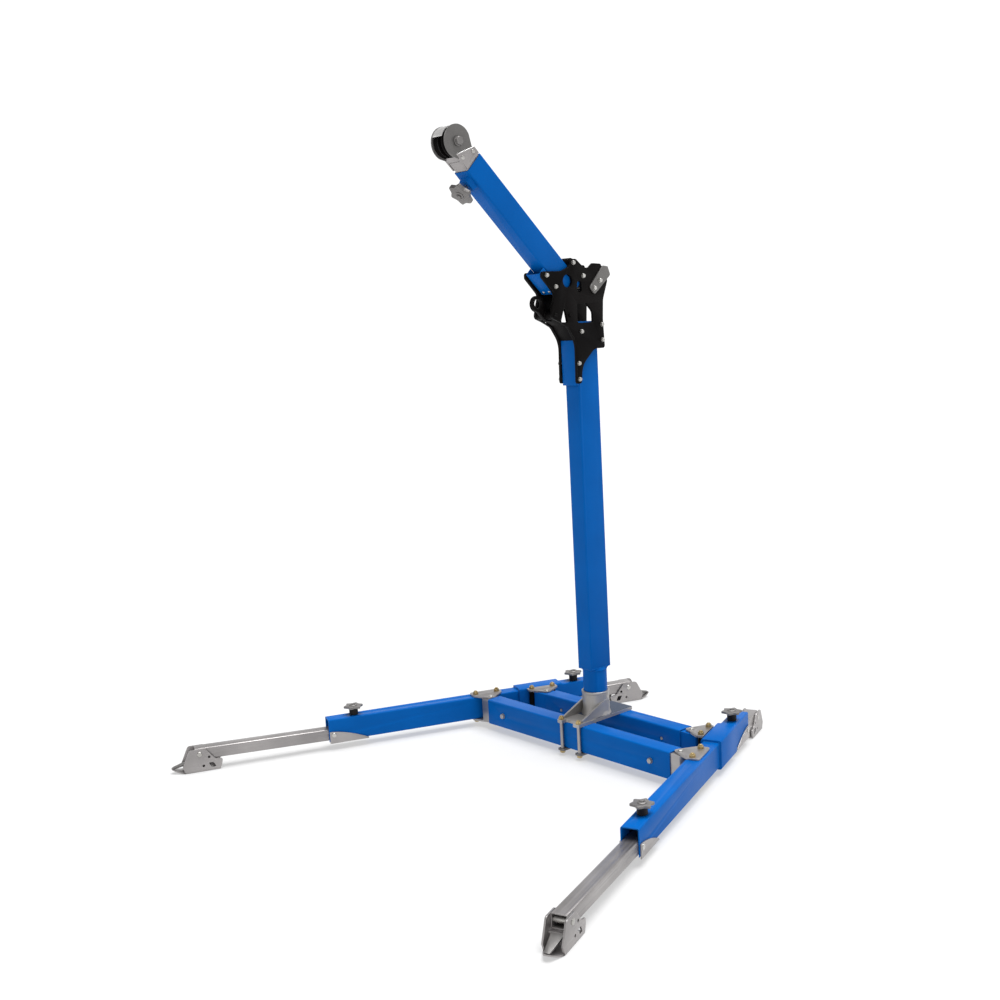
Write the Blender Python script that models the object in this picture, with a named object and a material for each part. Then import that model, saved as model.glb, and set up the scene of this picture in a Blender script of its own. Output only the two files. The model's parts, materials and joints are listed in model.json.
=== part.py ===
"""Portable confined space davit on a splayed four-leg base.

Metres, +Z up. X runs along the two cross beams, -Y is the side that the arm reaches over.
The mast axis is the centre of the base. At the end the whole davit is moved along Y, so that
the origin lies on the floor under the middle of its footprint.
"""

import math

import bmesh
import bpy
from mathutils import Matrix, Vector
from mathutils.geometry import tessellate_polygon

# General fits
GAP = 0.0003                # between faces that touch
HOLE_FIT = 0.0008           # radial room round a bolt
RUNNING_FIT = 0.0006        # side room of a sliding or turning piece
HOLE_SIDES = 8
WELD = 0.0005               # overlap of shapes that are one piece
WASHER_THICKNESS = 0.0016

# Cross beams of the base
BEAM_DEPTH = 0.0572
BEAM_HEIGHT = 0.0846
BEAM_WALL = 0.0032
BEAM_SPACING = 0.168        # between the two beam centre lines
BEAM_BOTTOM_Z = 0.0220
FRONT_BEAM_LENGTH = 0.8056
TUBE_CORNER = 0.0050

# Aluminium inserts in the beam ends, which carry the hinges
INSERT_FIT = 0.0010
INSERT_WALL = 0.0042
INSERT_IN_BEAM = 0.1400
INSERT_BOLT_INSET = 0.0750  # from the beam's end
INSERT_PIN_BOSS = 0.0140    # solid end of an insert behind its hinge pin
INSERT_BOLT_RADIUS = 0.0060
FRONT_INSERT_REACH = 0.0169  # hinge pin beyond the end of the front beam
REAR_INSERT_REACH = 0.0225565  # and of the rear beam
FRONT_INSERT_ROUND = 0.0303  # round end about the hinge pin
REAR_INSERT_ROUND = 0.0440

# Leg rails
SPLAY_DEG = 21.7
RAIL_WIDTH = 0.0508
RAIL_HEIGHT = 0.0762
RAIL_WALL = 0.0032
FOLD_CLEARANCE = 0.0026     # between a folded front rail and the beam
FRONT_SEAM_BACK = 0.1105    # from the front hinge pin back to the seam
FRONT_RAIL_LENGTH = 0.6670
REAR_RAIL_LENGTH = 0.3090
SEAM_GAP = 0.0010
SLEEVE_WALL = 0.0064        # reinforcing sleeve round the seam end of a rear rail
SLEEVE_CORNER = 0.0070
SLEEVE_SETBACK = 0.0020     # of the sleeve from the seam
SLEEVE_LENGTH = 0.1600      # from the seam to the sleeve's far end
REAR_PIN_TO_RAIL = 0.0866   # from the rear hinge pin to the centre line of the rail

# Hinge plates, above and below each corner
HINGE_PLATE_THICKNESS = 0.0060
HINGE_PIN_RADIUS = 0.0065
HINGE_PIN_BOSS = 0.0160
HINGE_BOLT_SPREAD = 0.0380  # along the rail, each side of the pin
HINGE_BOLT_BOSS = 0.0150
FRONT_HINGE_BOLT_OUT = 0.0500
REAR_HINGE_BOLT_OUT = 0.0430
REAR_HINGE_SPACER_RADIUS = 0.0100

# Leg mouth: pivot of the levelling leg, saddle and jack screw
MOUTH_PIN_INSET = 0.0160
MOUTH_PIN_RADIUS = 0.0060
MOUTH_NOTCH = 0.0260
SADDLE_THICKNESS = 0.0035
SADDLE_LENGTH = 0.1300
SADDLE_HEIGHT = 0.0360
JACK_LEVER = 0.0760         # from the mouth pin back to the jack screw
JACK_SCREW_RADIUS = 0.0070
NUT_BLOCK_LENGTH = 0.0320
NUT_BLOCK_HEIGHT = 0.0200
JACK_SLOT_ROOM = 0.0070     # past the screw, each way, for the tilt of the levelling leg
JACK_HUB_RADIUS = 0.0145
JACK_HUB_HEIGHT = 0.0190
KNOB_RADIUS = 0.0330
KNOB_THICKNESS = 0.0120
KNOB_LOBES = 6
KNOB_LOBE_DEPTH = 0.0060

# Levelling legs
EXTENSION_WIDTH = 0.0430
EXTENSION_HEIGHT = 0.0380
EXTENSION_WALL = 0.0032
EXTENSION_REACH = 0.4480    # from the mouth pin to the open end
EXTENSION_TAIL = 0.0980     # from the mouth pin to the inner end
REST_TILT_DEG = 0.8
FRONT_SHOE_PIN_X = 0.4350
REAR_SHOE_PIN_X = 0.1250
REAR_EXTENSION_REACH = 0.1380
REAR_EXTENSION_TAIL = 0.0980

# Foot shoes
SHOE_PIN_RADIUS = 0.0060
SHOE_SIDE = 0.0045
SHOE_SOLE = 0.0050
SHOE_HEEL = 0.0620
SHOE_BALL = 0.0560
SHOE_TOE = 0.0880
SHOE_TOE_LIFT = 0.0140
SHOE_TOP = 0.0170

# Mast socket on the beams
SOCKET_PLATE_THICKNESS = 0.0100
SOCKET_PLATE_HALF_WIDTH = 0.0480
SOCKET_PLATE_BEYOND = 0.0060
SOCKET_WALL = 0.0042
SOCKET_SIDES = 24
SOCKET_TOP_Z = 0.1935
SOCKET_GUSSET = 0.0070
SOCKET_GUSSET_X = 0.0400
CLAMP_BOLT_RADIUS = 0.0050
CLAMP_BOLT_X = 0.0380
CLAMP_BOLT_OFF = 0.0072     # from the beam's face to the bolt axis
CLAMP_FLANGE = 0.0110
CLAMP_STRAP_THICKNESS = 0.0060
CLAMP_STRAP_WIDTH = 0.0260

# Mast
SPIGOT_RADIUS = 0.0380
SPIGOT_WALL = 0.0050
MAST_BOTTOM_Z = 0.2700
MAST_TOP_Z = 1.3560
MAST_WIDTH = 0.0600
MAST_DEPTH = 0.0880
MAST_WALL = 0.0036
COLLAR_HEIGHT = 0.0080

# Head plates
PLATE_THICKNESS = 0.0095
HEAD_BOLT_RADIUS = 0.0050
ARM_STOP_RADIUS = 0.0145    # spacers that the back of the arm bears on
MAST_STOP_RADIUS = 0.0105   # spacers that the back of the mast bears on
EYE_SPACER_RADIUS = 0.0120
ARM_BOLTS = (0.0184, -0.0303)  # under the arm, along it
ARM_BOLT_DROP = 0.0520      # below the arm's centre line
ARM_STOPS = (-0.0365, -0.0930)
MAST_BOLTS_DOWN = (0.1250, 0.1730)  # below the top of the mast
MAST_BOLT_OFF = 0.0065      # in front of the mast
MAST_STOPS_DOWN = (0.0120, 0.0590)

# Arm, which leans forward over the work side
ARM_RISE_DEG = 44.3
ARM_WIDTH = 0.0600
ARM_HEIGHT = 0.0720
ARM_WALL = 0.0032
ARM_REF_Y = -0.1195         # a point on the arm's centre line
ARM_REF_RISE = 0.1643       # and its height above the top of the mast
ARM_TIP = 0.4140            # from that point up to the tip
ARM_ROOT = 0.1050           # and down to the root
INNER_WALL = 0.0032
INNER_OUT = 0.0360          # inner arm beyond the tip of the arm
INNER_IN = 0.3500           # and inside it
MAST_SADDLE_DEPTH = 0.0120
MAST_SADDLE_WALL = 0.0030
MAST_SADDLE_DOWN = (0.1920, 0.0560)  # its lower and upper ends, below the top of the mast
ARM_SADDLE_ENDS = (-0.0500, 0.0340)  # along the arm
ARM_SADDLE_DEPTH = 0.0260

# Sheave head at the tip
SHEAVE_RADIUS = 0.0405
SHEAVE_GROOVE = 0.0070
SHEAVE_WIDTH = 0.0190
SHEAVE_BORE = 0.0080
SHEAVE_FLANGE = 0.0030
SHEAVE_WASHER_RADIUS = 0.0150
AXLE_BEYOND = 0.0420        # sheave axle beyond the end of the inner arm
TIP_PLATE_THICKNESS = 0.0045
TIP_PLATE_RADIUS = 0.0465

# Clamp knob of the sliding arm
CLAMP_KNOB_BACK = 0.0380    # from the tip of the arm
CLAMP_BOSS_HEIGHT = 0.0160
CLAMP_BOSS_SIZE = 0.0420
CLAMP_BOSS_TAPER = 0.86
CLAMP_SCREW_RADIUS = 0.0060

COLOURS = {
    "powder_blue": ((0.000, 0.105, 0.352), 0.38, 0.0),
    "black_plate": ((0.012, 0.011, 0.012), 0.45, 0.0),
    "bare_aluminium": ((0.42, 0.42, 0.41), 0.42, 0.9),
    "zinc_steel": ((0.50, 0.46, 0.38), 0.35, 0.9),
    "cast_grey": ((0.28, 0.28, 0.28), 0.5, 0.6),
}


# Scene and material helpers

def clear_scene():
    for thing in list(bpy.data.objects):
        bpy.data.objects.remove(thing, do_unlink=True)


def material(name):
    found = bpy.data.materials.get(name)
    if found:
        return found
    colour, roughness, metallic = COLOURS[name]
    made = bpy.data.materials.new(name)
    made.use_nodes = True
    shader = made.node_tree.nodes["Principled BSDF"]
    shader.inputs["Base Color"].default_value = (*colour, 1.0)
    shader.inputs["Roughness"].default_value = roughness
    shader.inputs["Metallic"].default_value = metallic
    return made


def empty(name, location, turn=None, parent=None):
    made = bpy.data.objects.new(name, None)
    bpy.context.collection.objects.link(made)
    made.parent = parent
    made.location = location
    if turn:
        made.rotation_euler = turn
    return made


def add_object(name, bm, material_name, parent=None):
    """Turn a bmesh in the parent's frame into a named, shaded object."""
    bmesh.ops.remove_doubles(bm, verts=bm.verts, dist=1e-7)
    bmesh.ops.recalc_face_normals(bm, faces=bm.faces)
    mesh = bpy.data.meshes.new(name)
    bm.to_mesh(mesh)
    bm.free()
    mesh.shade_smooth()
    mesh.set_sharp_from_angle(angle=math.radians(35))
    made = bpy.data.objects.new(name, mesh)
    bpy.context.collection.objects.link(made)
    made.parent = parent
    made.data.materials.append(material(material_name))
    return made


def boolean(target, tool_bm, operation, label):
    """Cut or join a hidden tool body, given in the same frame as the target."""
    bmesh.ops.recalc_face_normals(tool_bm, faces=tool_bm.faces)
    mesh = bpy.data.meshes.new(label)
    tool_bm.to_mesh(mesh)
    tool_bm.free()
    tool = bpy.data.objects.new(label, mesh)
    bpy.context.collection.objects.link(tool)
    tool.parent = target.parent
    tool.hide_render = True
    tool.display_type = "WIRE"
    change = target.modifiers.new(label, "BOOLEAN")
    change.operation = operation
    change.solver = "EXACT"
    change.object = tool


def cut(target, tool_bm, label="cut"):
    boolean(target, tool_bm, "DIFFERENCE", target.name + "_" + label)


def fuse(target, tool_bm, label="fuse"):
    boolean(target, tool_bm, "UNION", target.name + "_" + label)


# Outlines and solids

def rounded(corners, steps=2):
    """Round each (u, v, radius) corner of an outline with an arc."""
    points = []
    count = len(corners)
    for index, (u, v, radius) in enumerate(corners):
        here = Vector((u, v))
        before = Vector(corners[index - 1][:2]) - here
        after = Vector(corners[(index + 1) % count][:2]) - here
        if radius <= 0:
            points.append((u, v))
            continue
        half = before.angle(after) / 2
        reach = radius / math.tan(half)
        start = here + before.normalized() * reach
        end = here + after.normalized() * reach
        centre = here + (before.normalized() + after.normalized()).normalized() * radius / math.sin(half)
        first = math.atan2(start.y - centre.y, start.x - centre.x)
        sweep = math.atan2(end.y - centre.y, end.x - centre.x) - first
        sweep = (sweep + math.pi) % (2 * math.pi) - math.pi
        for step in range(steps + 1):
            angle = first + sweep * step / steps
            points.append((centre.x + radius * math.cos(angle), centre.y + radius * math.sin(angle)))
    return points


def rectangle(width, height, radius, centre=(0.0, 0.0), steps=2):
    u, v = centre
    half_w, half_h = width / 2, height / 2
    return rounded([(u - half_w, v - half_h, radius), (u + half_w, v - half_h, radius),
                    (u + half_w, v + half_h, radius), (u - half_w, v + half_h, radius)], steps)


def circle(centre, radius, sides=HOLE_SIDES):
    return [(centre[0] + radius * math.cos(2 * math.pi * i / sides),
             centre[1] + radius * math.sin(2 * math.pi * i / sides)) for i in range(sides)]


AXES = {
    "XY": lambda u, v, w: (u, v, w),
    "YZ": lambda u, v, w: (w, u, v),
    "XZ": lambda u, v, w: (u, w, v),
}


def slab(bm, outer, w_low, w_high, plane="XY", holes=()):
    """Extrude an outline with holes from w_low to w_high, square to its plane."""
    place = AXES[plane]
    loops = [outer, *holes]
    flat = tessellate_polygon([[Vector((u, v, 0)) for u, v in loop] for loop in loops])
    low = [[bm.verts.new(place(u, v, w_low)) for u, v in loop] for loop in loops]
    high = [[bm.verts.new(place(u, v, w_high)) for u, v in loop] for loop in loops]
    low_verts = [vert for loop in low for vert in loop]
    high_verts = [vert for loop in high for vert in loop]
    for a, b, c in flat:
        bm.faces.new((low_verts[a], low_verts[b], low_verts[c]))
        bm.faces.new((high_verts[c], high_verts[b], high_verts[a]))
    for under, over in zip(low, high):
        for i in range(len(under)):
            bm.faces.new((under[i - 1], under[i], over[i], over[i - 1]))
    return bm


def plate(name, outer, w_low, w_high, plane, material_name, parent=None, holes=()):
    return add_object(name, slab(bmesh.new(), outer, w_low, w_high, plane, holes),
                      material_name, parent)


def rod(bm, start, end, radius, sides=HOLE_SIDES):
    """A plain round bar between two points."""
    start, end = Vector(start), Vector(end)
    run = end - start
    turn = run.to_track_quat("Z", "Y").to_matrix().to_4x4()
    bmesh.ops.create_cone(bm, cap_ends=True, segments=sides, radius1=radius, radius2=radius,
                          depth=run.length, matrix=Matrix.Translation((start + end) / 2) @ turn)
    return bm


def block(bm, low, high):
    size = Vector(high) - Vector(low)
    middle = (Vector(high) + Vector(low)) / 2
    scale = Matrix.Diagonal((*size, 1.0))
    bmesh.ops.create_cube(bm, size=1.0, matrix=Matrix.Translation(middle) @ scale)
    return bm


def ring(bm, shape, size, height, turn, sides=12):
    """One section of a fastener: points on a circle, or on a hexagon if there are 6 or 12."""
    verts = []
    for index in range(sides):
        angle = 2 * math.pi * index / sides
        reach = size
        if shape == "hex" and index % (sides // 6):
            reach = size * math.cos(math.pi / 6)
        spot = Vector((reach * math.cos(angle), reach * math.sin(angle), height))
        verts.append(bm.verts.new(turn @ spot))
    return verts


def fastener(bm, start, direction, sections, sides=12):
    """Stack of (height, size, shape) sections along a direction, closed at both ends."""
    turn = Matrix.Translation(start) @ Vector(direction).to_track_quat("Z", "Y").to_matrix().to_4x4()
    rings = [ring(bm, shape, size, height, turn, sides) for height, size, shape in sections]
    for low, high in zip(rings, rings[1:]):
        for index in range(sides):
            bm.faces.new((low[index - 1], low[index], high[index], high[index - 1]))
    bm.faces.new(rings[0])
    bm.faces.new(rings[-1])
    return bm


def through_bolt(bm, start, direction, grip, radius, head=True, seat=GAP, collar=None):
    """Hex head, shank and nut round a stack of material of length grip.

    A seat below zero sinks the head into the piece that the bolt is one with. The collar is a
    thicker stretch of the shank, as (low, high, radius).
    """
    across = radius * 1.9
    under = -seat
    if head:
        sections = [(under - radius * 1.4, across, "hex"), (under, across, "hex"), (under, radius, "hex")]
    else:
        sections = [(-seat, radius, "hex")]
    if collar:
        low, high, thick = collar
        sections += [(low, radius, "hex"), (low, thick, "round"), (high, thick, "round"), (high, radius, "hex")]
    nut = grip + GAP
    sections += [(nut, radius, "hex"), (nut, across, "hex"), (nut + radius * 1.6, across, "hex")]
    return fastener(bm, start, direction, sections, 12 if collar else 6)


def pivot_pin(bm, start, direction, grip, radius):
    """Round pivot bolt with a washer under its head and its nut."""
    across = radius * 1.85
    washer = radius * 2.1
    low, high = -GAP, grip + GAP
    sections = [(low - WASHER_THICKNESS - radius * 1.25, across, "hex"), (low - WASHER_THICKNESS, across, "hex"),
                (low - WASHER_THICKNESS, washer, "round"), (low, washer, "round"), (low, radius, "round"),
                (high, radius, "round"), (high, washer, "round"), (high + WASHER_THICKNESS, washer, "round"),
                (high + WASHER_THICKNESS, across, "hex"), (high + WASHER_THICKNESS + radius * 1.6, across, "hex")]
    return fastener(bm, start, direction, sections)


def turned(bm, profile, sides, matrix=None):
    """Revolve a closed (radius, height) profile about Z into a ring-shaped body."""
    loops = []
    for radius, height in profile:
        loops.append([bm.verts.new((radius * math.cos(2 * math.pi * i / sides),
                                    radius * math.sin(2 * math.pi * i / sides), height))
                      for i in range(sides)])
    for low, high in zip(loops, loops[1:] + loops[:1]):
        for index in range(sides):
            bm.faces.new((low[index - 1], low[index], high[index], high[index - 1]))
    if matrix:
        verts = [vert for loop in loops for vert in loop]
        bmesh.ops.transform(bm, matrix=matrix, verts=verts)
    return bm


def tube(name, width, height, wall, length_low, length_high, plane, centre, material_name, parent=None):
    """Rectangular tube with rounded corners along the axis that its plane leaves out."""
    outer = rectangle(width, height, TUBE_CORNER, centre)
    inner = rectangle(width - 2 * wall, height - 2 * wall, max(TUBE_CORNER - wall, 0.0012), centre, 2)
    return plate(name, outer, length_low, length_high, plane, material_name, parent, holes=[inner])


def star(radius, lobe_depth, lobes, steps=4):
    """Lobed outline of a hand knob."""
    count = lobes * steps
    return [((radius - lobe_depth * (0.5 - 0.5 * math.cos(lobes * 2 * math.pi * i / count)))
             * math.cos(2 * math.pi * i / count),
             (radius - lobe_depth * (0.5 - 0.5 * math.cos(lobes * 2 * math.pi * i / count)))
             * math.sin(2 * math.pi * i / count)) for i in range(count)]


# Places that several pieces share

BEAM_TOP_Z = BEAM_BOTTOM_Z + BEAM_HEIGHT
BEAM_MID_Z = BEAM_BOTTOM_Z + BEAM_HEIGHT / 2
RAIL_BOTTOM_Z = BEAM_MID_Z - RAIL_HEIGHT / 2
RAIL_TOP_Z = BEAM_MID_Z + RAIL_HEIGHT / 2
BEAM_Y = BEAM_SPACING / 2
SPLAY = math.radians(SPLAY_DEG)
FRONT_PIN_X = FRONT_BEAM_LENGTH / 2 + FRONT_INSERT_REACH
FRONT_PIN_TO_RAIL = BEAM_DEPTH / 2 + FOLD_CLEARANCE + RAIL_WIDTH / 2

# The rear hinge pin stands where both rails of a side lie on one line
RAIL_LINE_OUT = (FRONT_PIN_X * math.cos(SPLAY) - BEAM_Y * math.sin(SPLAY) + FRONT_PIN_TO_RAIL)
REAR_PIN_X = (RAIL_LINE_OUT - REAR_PIN_TO_RAIL - BEAM_Y * math.sin(SPLAY)) / math.cos(SPLAY)
REAR_BEAM_LENGTH = 2 * (REAR_PIN_X - REAR_INSERT_REACH)

# The seam, measured back along the rail from each hinge pin
FRONT_PIN_ALONG = FRONT_PIN_X * math.sin(SPLAY) + BEAM_Y * math.cos(SPLAY)
REAR_PIN_ALONG = REAR_PIN_X * math.sin(SPLAY) - BEAM_Y * math.cos(SPLAY)
REAR_SEAM_BACK = FRONT_PIN_ALONG - FRONT_SEAM_BACK - REAR_PIN_ALONG - SEAM_GAP

MOUTH_PIN_Z = (RAIL_BOTTOM_Z + RAIL_WALL + 0.0005 + EXTENSION_HEIGHT / 2
               + EXTENSION_TAIL * math.sin(math.radians(REST_TILT_DEG)))
SOCKET_PLATE_Z = BEAM_TOP_Z + GAP
SOCKET_FLOOR_Z = SOCKET_PLATE_Z + SOCKET_PLATE_THICKNESS
PLATE_INNER_X = MAST_WIDTH / 2 + GAP
ARM_RISE = math.radians(ARM_RISE_DEG)
ARM_REF_Z = MAST_TOP_Z + ARM_REF_RISE


def arm_point(along, above):
    """Point (y, z) at a distance along the arm towards its tip, and above its centre line."""
    return (ARM_REF_Y - along * math.cos(ARM_RISE) + above * math.sin(ARM_RISE),
            ARM_REF_Z + along * math.sin(ARM_RISE) + above * math.cos(ARM_RISE))


# Base

def build_beams(base):
    for label, side, length in (("front_beam", -1, FRONT_BEAM_LENGTH), ("rear_beam", 1, REAR_BEAM_LENGTH)):
        beam = tube(label, BEAM_DEPTH, BEAM_HEIGHT, BEAM_WALL, -length / 2, length / 2, "YZ",
                    (side * BEAM_Y, BEAM_MID_Z), "powder_blue", base)
        holes = bmesh.new()
        for end in (-1, 1):
            x = end * (length / 2 - INSERT_BOLT_INSET)
            rod(holes, (x, side * BEAM_Y - BEAM_DEPTH, BEAM_MID_Z), (x, side * BEAM_Y + BEAM_DEPTH, BEAM_MID_Z),
                INSERT_BOLT_RADIUS + HOLE_FIT)
        if side > 0:
            for end in (-1, 1):
                x = end * CLAMP_BOLT_X
                rod(holes, (x, BEAM_Y, BEAM_BOTTOM_Z - 0.01), (x, BEAM_Y, BEAM_TOP_Z + 0.01),
                    CLAMP_BOLT_RADIUS + HOLE_FIT)
        cut(beam, holes, "bolt_holes")


def build_insert(base, end, side, length, pin_x, round_end):
    """Hollow aluminium end of a beam, rounded about the hinge pin, with its cross bolt."""
    name = ("front" if side < 0 else "rear") + ("_left" if end < 0 else "_right")
    y = side * BEAM_Y
    half = (BEAM_DEPTH - 2 * BEAM_WALL - INSERT_FIT) / 2
    low, high = BEAM_MID_Z - RAIL_HEIGHT / 2, BEAM_MID_Z + RAIL_HEIGHT / 2
    swing = math.asin(half / round_end)
    steps = 8
    arc = [(end * (pin_x + round_end * math.cos(a)), y + round_end * math.sin(a))
           for a in [swing * (2 * i / steps - 1) for i in range(steps + 1)]]
    inner_x = length / 2 - INSERT_IN_BEAM
    outline = [(end * inner_x, y - half)] + arc + [(end * inner_x, y + half)]
    insert = plate(name + "_insert", outline, low, high, "XY", "bare_aluminium", base)
    ends = sorted((end * (inner_x - 0.01), end * (pin_x - INSERT_PIN_BOSS)))
    cut(insert, block(bmesh.new(), (ends[0], y - half + INSERT_WALL, low + INSERT_WALL),
                      (ends[1], y + half - INSERT_WALL, high - INSERT_WALL)), "hollow")
    cut(insert, rod(bmesh.new(), (end * pin_x, y, low - 0.01), (end * pin_x, y, high + 0.01),
                    HINGE_PIN_RADIUS + HOLE_FIT), "pin_hole")
    start = (end * (length / 2 - INSERT_BOLT_INSET), side * (BEAM_Y + BEAM_DEPTH / 2), BEAM_MID_Z)
    fuse(insert, through_bolt(bmesh.new(), start, (0, -side, 0), BEAM_DEPTH, INSERT_BOLT_RADIUS), "bolt")

    pin = bmesh.new()
    grip = RAIL_HEIGHT + 2 * (HINGE_PLATE_THICKNESS + GAP)
    start = (end * pin_x, y, RAIL_BOTTOM_Z - HINGE_PLATE_THICKNESS - GAP)
    pivot_pin(pin, start, (0, 0, 1), grip, HINGE_PIN_RADIUS)
    add_object(name + "_fold_pin", pin, "zinc_steel", base)


def build_inserts(base):
    for side, length, pin_x, round_end in ((-1, FRONT_BEAM_LENGTH, FRONT_PIN_X, FRONT_INSERT_ROUND),
                                           (1, REAR_BEAM_LENGTH, REAR_PIN_X, REAR_INSERT_ROUND)):
        for end in (-1, 1):
            build_insert(base, end, side, length, pin_x, round_end)


def build_socket(base):
    front_bolt_y = -BEAM_Y - BEAM_DEPTH / 2 - CLAMP_BOLT_OFF
    back_bolt_y = -BEAM_Y + BEAM_DEPTH / 2 + CLAMP_BOLT_OFF
    front_y = front_bolt_y - CLAMP_FLANGE
    rear_y = BEAM_Y + BEAM_DEPTH / 2 + SOCKET_PLATE_BEYOND
    half = SOCKET_PLATE_HALF_WIDTH
    outline = rounded([(-half, front_y, 0.006), (half, front_y, 0.006), (half, rear_y, 0.006),
                       (-half, rear_y, 0.006)])
    holes = [circle((end * CLAMP_BOLT_X, front_bolt_y), CLAMP_BOLT_RADIUS + HOLE_FIT) for end in (-1, 1)]
    socket = plate("mast_socket", outline, SOCKET_PLATE_Z, SOCKET_FLOOR_Z, "XY", "bare_aluminium", base, holes)
    bore = SPIGOT_RADIUS + RUNNING_FIT
    skin = bore + SOCKET_WALL
    sleeve = bmesh.new()
    turned(sleeve, [(bore, SOCKET_FLOOR_Z - 0.004), (skin + 0.004, SOCKET_FLOOR_Z - 0.004),
                    (skin + 0.004, SOCKET_FLOOR_Z + 0.003), (skin, SOCKET_FLOOR_Z + 0.012),
                    (skin, SOCKET_TOP_Z), (bore, SOCKET_TOP_Z)], SOCKET_SIDES)
    fuse(socket, sleeve, "sleeve")
    for end in (-1, 1):
        web = bmesh.new()
        x_low = end * SOCKET_GUSSET_X - SOCKET_GUSSET / 2
        top_y, low_y = 0.014, front_bolt_y + 0.0135
        outline = rounded([(top_y, SOCKET_FLOOR_Z - 0.002, 0), (top_y, SOCKET_TOP_Z - 0.026, 0.004),
                           (-0.002, SOCKET_TOP_Z - 0.026, 0.010), (low_y, SOCKET_FLOOR_Z + 0.006, 0.003),
                           (low_y, SOCKET_FLOOR_Z - 0.002, 0)], 2)
        slab(web, outline, x_low, x_low + SOCKET_GUSSET, "YZ")
        fuse(socket, web, "gusset_" + ("left" if end < 0 else "right"))
    bore_tool = bmesh.new()
    rod(bore_tool, (0, 0, SOCKET_FLOOR_Z), (0, 0, SOCKET_TOP_Z + 0.01), bore, SOCKET_SIDES)
    for end in (-1, 1):
        rod(bore_tool, (end * CLAMP_BOLT_X, back_bolt_y, SOCKET_PLATE_Z - 0.01),
            (end * CLAMP_BOLT_X, back_bolt_y, SOCKET_FLOOR_Z - 0.002), CLAMP_BOLT_RADIUS + HOLE_FIT)
    cut(socket, bore_tool, "bore")

    for end in (-1, 1):
        screw = bmesh.new()
        start = (end * CLAMP_BOLT_X, BEAM_Y, SOCKET_FLOOR_Z)
        through_bolt(screw, start, (0, 0, -1), SOCKET_FLOOR_Z - BEAM_BOTTOM_Z, CLAMP_BOLT_RADIUS,
                     head=False, seat=WELD)
        fuse(socket, screw, "rear_screw_" + ("left" if end < 0 else "right"))

    strap_top = BEAM_BOTTOM_Z - GAP
    strap_low = strap_top - CLAMP_STRAP_THICKNESS
    for end in (-1, 1):
        build_clamp(base, end, front_bolt_y, back_bolt_y, strap_low, strap_top)


def build_clamp(base, end, front_bolt_y, back_bolt_y, strap_low, strap_top):
    """Strap under the front beam with its two bolts, which pull the socket down on the beam."""
    x = end * CLAMP_BOLT_X
    half = CLAMP_STRAP_WIDTH / 2
    ends = (front_bolt_y - half * 0.8, back_bolt_y + half * 0.8)
    outline = rounded([(x - half, ends[0], 0.006), (x + half, ends[0], 0.006),
                       (x + half, ends[1], 0.006), (x - half, ends[1], 0.006)])
    name = "clamp_strap_" + ("left" if end < 0 else "right")
    strap = plate(name, outline, strap_low, strap_top, "XY", "zinc_steel", base)
    fuse(strap, through_bolt(bmesh.new(), (x, front_bolt_y, strap_low), (0, 0, 1), SOCKET_FLOOR_Z - strap_low,
                             CLAMP_BOLT_RADIUS, seat=-WELD), "front_bolt")
    radius = CLAMP_BOLT_RADIUS
    stud_top = SOCKET_FLOOR_Z - 0.002 - 2 * GAP
    across = radius * 1.9
    sections = [(WELD - radius * 1.4, across, "hex"), (WELD, across, "hex"), (WELD, radius, "hex"),
                (stud_top - strap_low, radius, "hex")]
    fuse(strap, fastener(bmesh.new(), (x, back_bolt_y, strap_low), (0, 0, 1), sections, 6), "back_bolt")


# Legs. A leg's frame stands on its hinge pin: X along the leg, Z up from the floor

class Leg:
    """Where one of the four legs stands, and which way its outer side is."""

    def __init__(self, end, side):
        self.front = end == "front"
        self.name = end + "_" + side
        across = 1 if side == "right" else -1
        heading = Vector((math.sin(SPLAY), -math.cos(SPLAY), 0))
        pin = Vector((FRONT_PIN_X, -BEAM_Y, 0))
        if not self.front:
            heading = -heading
            pin = Vector((REAR_PIN_X, BEAM_Y, 0))
        heading.x *= across
        pin.x *= across
        self.pin = pin
        self.turn = math.atan2(heading.y, heading.x)
        self.out = across if self.front else -across
        self.line = self.out * (FRONT_PIN_TO_RAIL if self.front else REAR_PIN_TO_RAIL)
        seam_back = FRONT_SEAM_BACK if self.front else REAR_SEAM_BACK
        self.seam = -seam_back
        self.mouth = self.seam + (FRONT_RAIL_LENGTH if self.front else REAR_RAIL_LENGTH)
        self.mouth_pin = self.mouth - MOUTH_PIN_INSET
        self.jack = self.mouth_pin - JACK_LEVER
        self.bolt_out = self.out * (FRONT_HINGE_BOLT_OUT if self.front else REAR_HINGE_BOLT_OUT)
        self.reach = EXTENSION_REACH if self.front else REAR_EXTENSION_REACH
        self.shoe_pin = FRONT_SHOE_PIN_X if self.front else REAR_SHOE_PIN_X


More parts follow.
